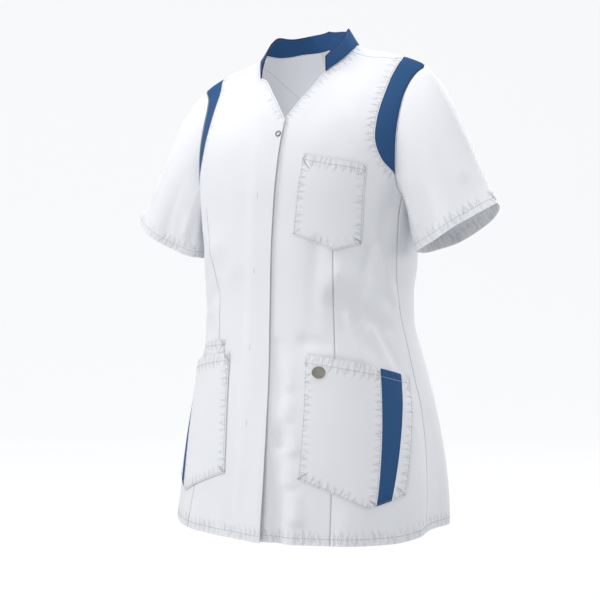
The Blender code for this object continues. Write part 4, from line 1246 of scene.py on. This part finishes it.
LABEL_OUT = 0.1
LABEL_WIDTH = 2.6
LABEL_TOP = 26.0
LABEL_LENGTH = 3.0
LABEL_WALL = 0.05
LABEL_DEEP = 0.42
LABEL_STEPS = 24
WEAVE = 0.06
label_climb = np.linspace(LABEL_TOP - LABEL_LENGTH, LABEL_TOP, LABEL_STEPS)[:, None]
label_out = np.linspace(LABEL_OUT + LABEL_WIDTH / 2, LABEL_OUT - LABEL_WIDTH / 2, LABEL_STEPS)[None]
label_turn = 180 - turn_at(label_out, label_climb, back=True)
label_places = np.stack(np.broadcast_arrays(label_turn, label_climb), axis=-1)
tape = Finish("label_tape_cloth", "label_tape", Base_Color=(0.72, 0.77, 0.71, 1), Roughness=0.6)
tape.feed(Normal=tape.bump((tape.read("along") * (2 * np.pi / WEAVE)).sine(), 0.00005, 0.5))
label_outer, label_normal = on_cloth(label_places, -LABEL_DEEP)
shell("neck_label", label_outer, label_normal, tape,
      thick=LABEL_WALL)

# Pockets
#
# Patch pockets of the same white twill, each with a turned band along its top and stitched round its
# other edges. A hip pocket is pieced: its main part, a blue pen strip, and a strip at the side.
POCKET_CLEAR = 0.10
POCKET_WALL = 0.13
PRESSED = 0.78
PRESSED_WIDE = 0.5
EDGE_STITCH = 0.22
BAND_STITCH = 0.75
# The small waves that the stitching draws into a pocket, uneven in length
WAVE_HIGH = 0.014
WAVE_WIDE = 0.45
WAVE_LONG = 0.95
WAVE_UNEVEN = 2.2
SEWN_ROUND = ("left", "right", "bottom")
OTHER_WAY = {"left": "right", "right": "left", "bottom": "bottom"}
POCKET_ROWS = []
STRIP_ROWS = []


def pointed(corners, steps):
    """A pocket's bottom edge: two straight lines that meet in a point."""
    return join(run(corners[:2], steps[0]), run(corners[1:], steps[1]))


def patch(node, top, bottom, along, finish=WHITE, side=1, stand=0.0, clear=POCKET_CLEAR, sewn=SEWN_ROUND,
          band=BAND_STITCH):
    """A pocket's piece: pressed flat to the front along its sewn edges, fuller in its middle."""
    across = len(bottom) - 1
    v = even(along)[:, None]
    places = bottom[None] * (1 - v[..., None]) + run(top, across)[None] * v[..., None]
    base, normal = on_cloth(places * np.array([side, 1]))
    rows = [Row(SIDES[key](base)[0], EDGE_STITCH) for key in sewn]
    rows.append(Row(base[-1], band))
    edge_gap, _ = nearest(base, [Row(SIDES[key](base)[0], 0) for key in SEWN_ROUND])
    soft = smooth_step(edge_gap / PRESSED_WIDE)
    arch = np.sqrt(np.clip(np.sin(np.pi * even(across)), 0, 1))
    height = (clear + POCKET_WALL) * (PRESSED + (1 - PRESSED) * soft) + stand * arch * v**2
    gap, run_along = nearest(base, rows)
    wave = np.sin(2 * np.pi * run_along / WAVE_LONG + WAVE_UNEVEN * np.sin(run_along * 0.9))
    height = height + WAVE_HIGH * wave * np.exp(-((gap / WAVE_WIDE) ** 2)) * soft
    outer = base + normal * height[..., None]
    if side < 0:
        outer, normal = outer[:, ::-1], normal[:, ::-1]
    for key in sewn:
        POCKET_ROWS.append(inland(outer, normal, EDGE_STITCH, key if side > 0 else OTHER_WAY[key]))
    band_rows = POCKET_ROWS if finish is WHITE else STRIP_ROWS
    band_rows.append(inland(outer, normal, band, "top"))
    shell(node, outer, normal, finish, rows)


CHEST_TOP = turn_places((15.4, 9.3), (48.7, 8.8))
CHEST_BOTTOM = pointed(turn_places((12.4, -1.7), (34.2, -4.0), (49.5, -3.0)), (56, 28))
HIP_TOP = turn_places((18.6, -18.4), (38.8, -19.3), (58.9, -20.2))
HIP_BOTTOM = pointed(turn_places((14.4, -35.4), (44.6, -39.1), (49.2, -38.7)), (60, 12))
STRIP_TOP = turn_places((58.9, -20.2), (73.5, -21.0))
STRIP_BOTTOM = run(turn_places((49.2, -38.7), (57.0, -38.0)), 20)
SIDE_TOP = turn_places((73.5, -21.0), (80.5, -21.3))
SIDE_BOTTOM = run(turn_places((57.0, -38.0), (64.5, -37.3)), 20)
PHONE_TOP = turn_places((23.0, -16.6), (46.0, -17.2))
PHONE_BOTTOM = run(turn_places((23.4, -21.2), (45.2, -21.8)), 50)
CHEST_STAND = 0.26
HIP_STAND = 0.5
PHONE_STAND = 0.25
SIDE_CLEAR = 0.15
HIP_BAND = 1.15
PHONE_BAND = 0.7
patch("chest_pocket", CHEST_TOP, CHEST_BOTTOM, 96,
      stand=CHEST_STAND)
for side_name, side in (("left", 1), ("right", -1)):
    patch("hip_pocket_" + side_name, HIP_TOP, HIP_BOTTOM, 140,
          side=side, stand=HIP_STAND, band=HIP_BAND)
    patch("pen_strip_" + side_name, STRIP_TOP, STRIP_BOTTOM, 120,
          BLUE, side, sewn=("bottom",), band=HIP_BAND)
    patch("hip_side_" + side_name, SIDE_TOP, SIDE_BOTTOM, 120,
          side=side, clear=SIDE_CLEAR, sewn=("right", "bottom"), band=HIP_BAND)
patch("phone_pocket", PHONE_TOP, PHONE_BOTTOM, 36,
      side=-1, stand=PHONE_STAND, clear=0.0, band=PHONE_BAND)
stitches("pocket_stitches", POCKET_ROWS)
stitches("strip_stitches", STRIP_ROWS, BRIGHT_THREAD)

# Ring and badge
#
# The ring of the top press stud shows at the start of the lap. A small plain metal badge with a raised
# rim is fixed to the left hip pocket. Both are dull steel, with fine scratches.
steel = Finish("dull_steel_metal", Metallic=0.8)
scratches = steel.noise(420.0, 3.0)
steel.feed(Roughness=scratches * 0.22 + 0.34, Normal=steel.bump(scratches, 0.00008, 0.5),
           Base_Color=steel.shade((0.24, 0.235, 0.20, 1), (0.11, 0.108, 0.09, 1), steel.noise(160.0, 2.0)))
snap_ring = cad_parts["snap_ring"]
snap_ring.data.materials.clear()
snap_ring.data.materials.append(steel.material)

BADGE_TURN = 25.0
BADGE_CLIMB = -20.9
BADGE_RADII = (0.95, 0.82)
BADGE_THICK = 0.15
BADGE_BEVEL = 0.05
BADGE_RIM = 0.11
BADGE_SLOPE = 0.04
BADGE_DISH = 0.035
bm = bmesh.new()
bmesh.ops.create_circle(bm, cap_ends=True, segments=72, radius=1)
bmesh.ops.scale(bm, vec=(*BADGE_RADII, 1), verts=bm.verts)
raised = bmesh.ops.extrude_face_region(bm, geom=bm.faces[:])
top = [item for item in raised["geom"] if isinstance(item, bmesh.types.BMFace)]
bmesh.ops.translate(bm, vec=(0, 0, BADGE_THICK), verts=top[0].verts)
bmesh.ops.bevel(bm, geom=top[0].edges[:], offset=BADGE_BEVEL, segments=3, profile=0.5, affect="EDGES",
                material=-1)
bmesh.ops.recalc_face_normals(bm, faces=bm.faces)
bm.faces.ensure_lookup_table()
face = max(bm.faces, key=lambda item: item.calc_center_median().z)
bmesh.ops.inset_region(bm, faces=[face], thickness=BADGE_RIM, depth=0)
bmesh.ops.inset_region(bm, faces=[face], thickness=BADGE_SLOPE, depth=-BADGE_DISH)
badge_out = Vector(outward(BADGE_TURN, BADGE_CLIMB))
badge_across = Vector(torso(BADGE_TURN + 1, BADGE_CLIMB) - torso(BADGE_TURN, BADGE_CLIMB))
badge_across = (badge_across - badge_out * badge_across.dot(badge_out)).normalized()
cad_points = [corner.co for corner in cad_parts["badge"].data.vertices]
badge_middle = sum(cad_points, Vector()) / len(cad_points) - badge_out * BADGE_THICK / 2 * CM
badge_turned = Matrix((badge_across, badge_out.cross(badge_across), badge_out)).transposed().to_4x4()
badge_place = Matrix.Translation(badge_middle) @ badge_turned @ Matrix.Scale(CM, 4)
bmesh.ops.transform(bm, matrix=badge_place, verts=bm.verts)
badge = placed("badge_metal", meshed("badge_metal", bm))
badge.data.materials.append(steel.material)
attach(badge, "root")
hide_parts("badge")
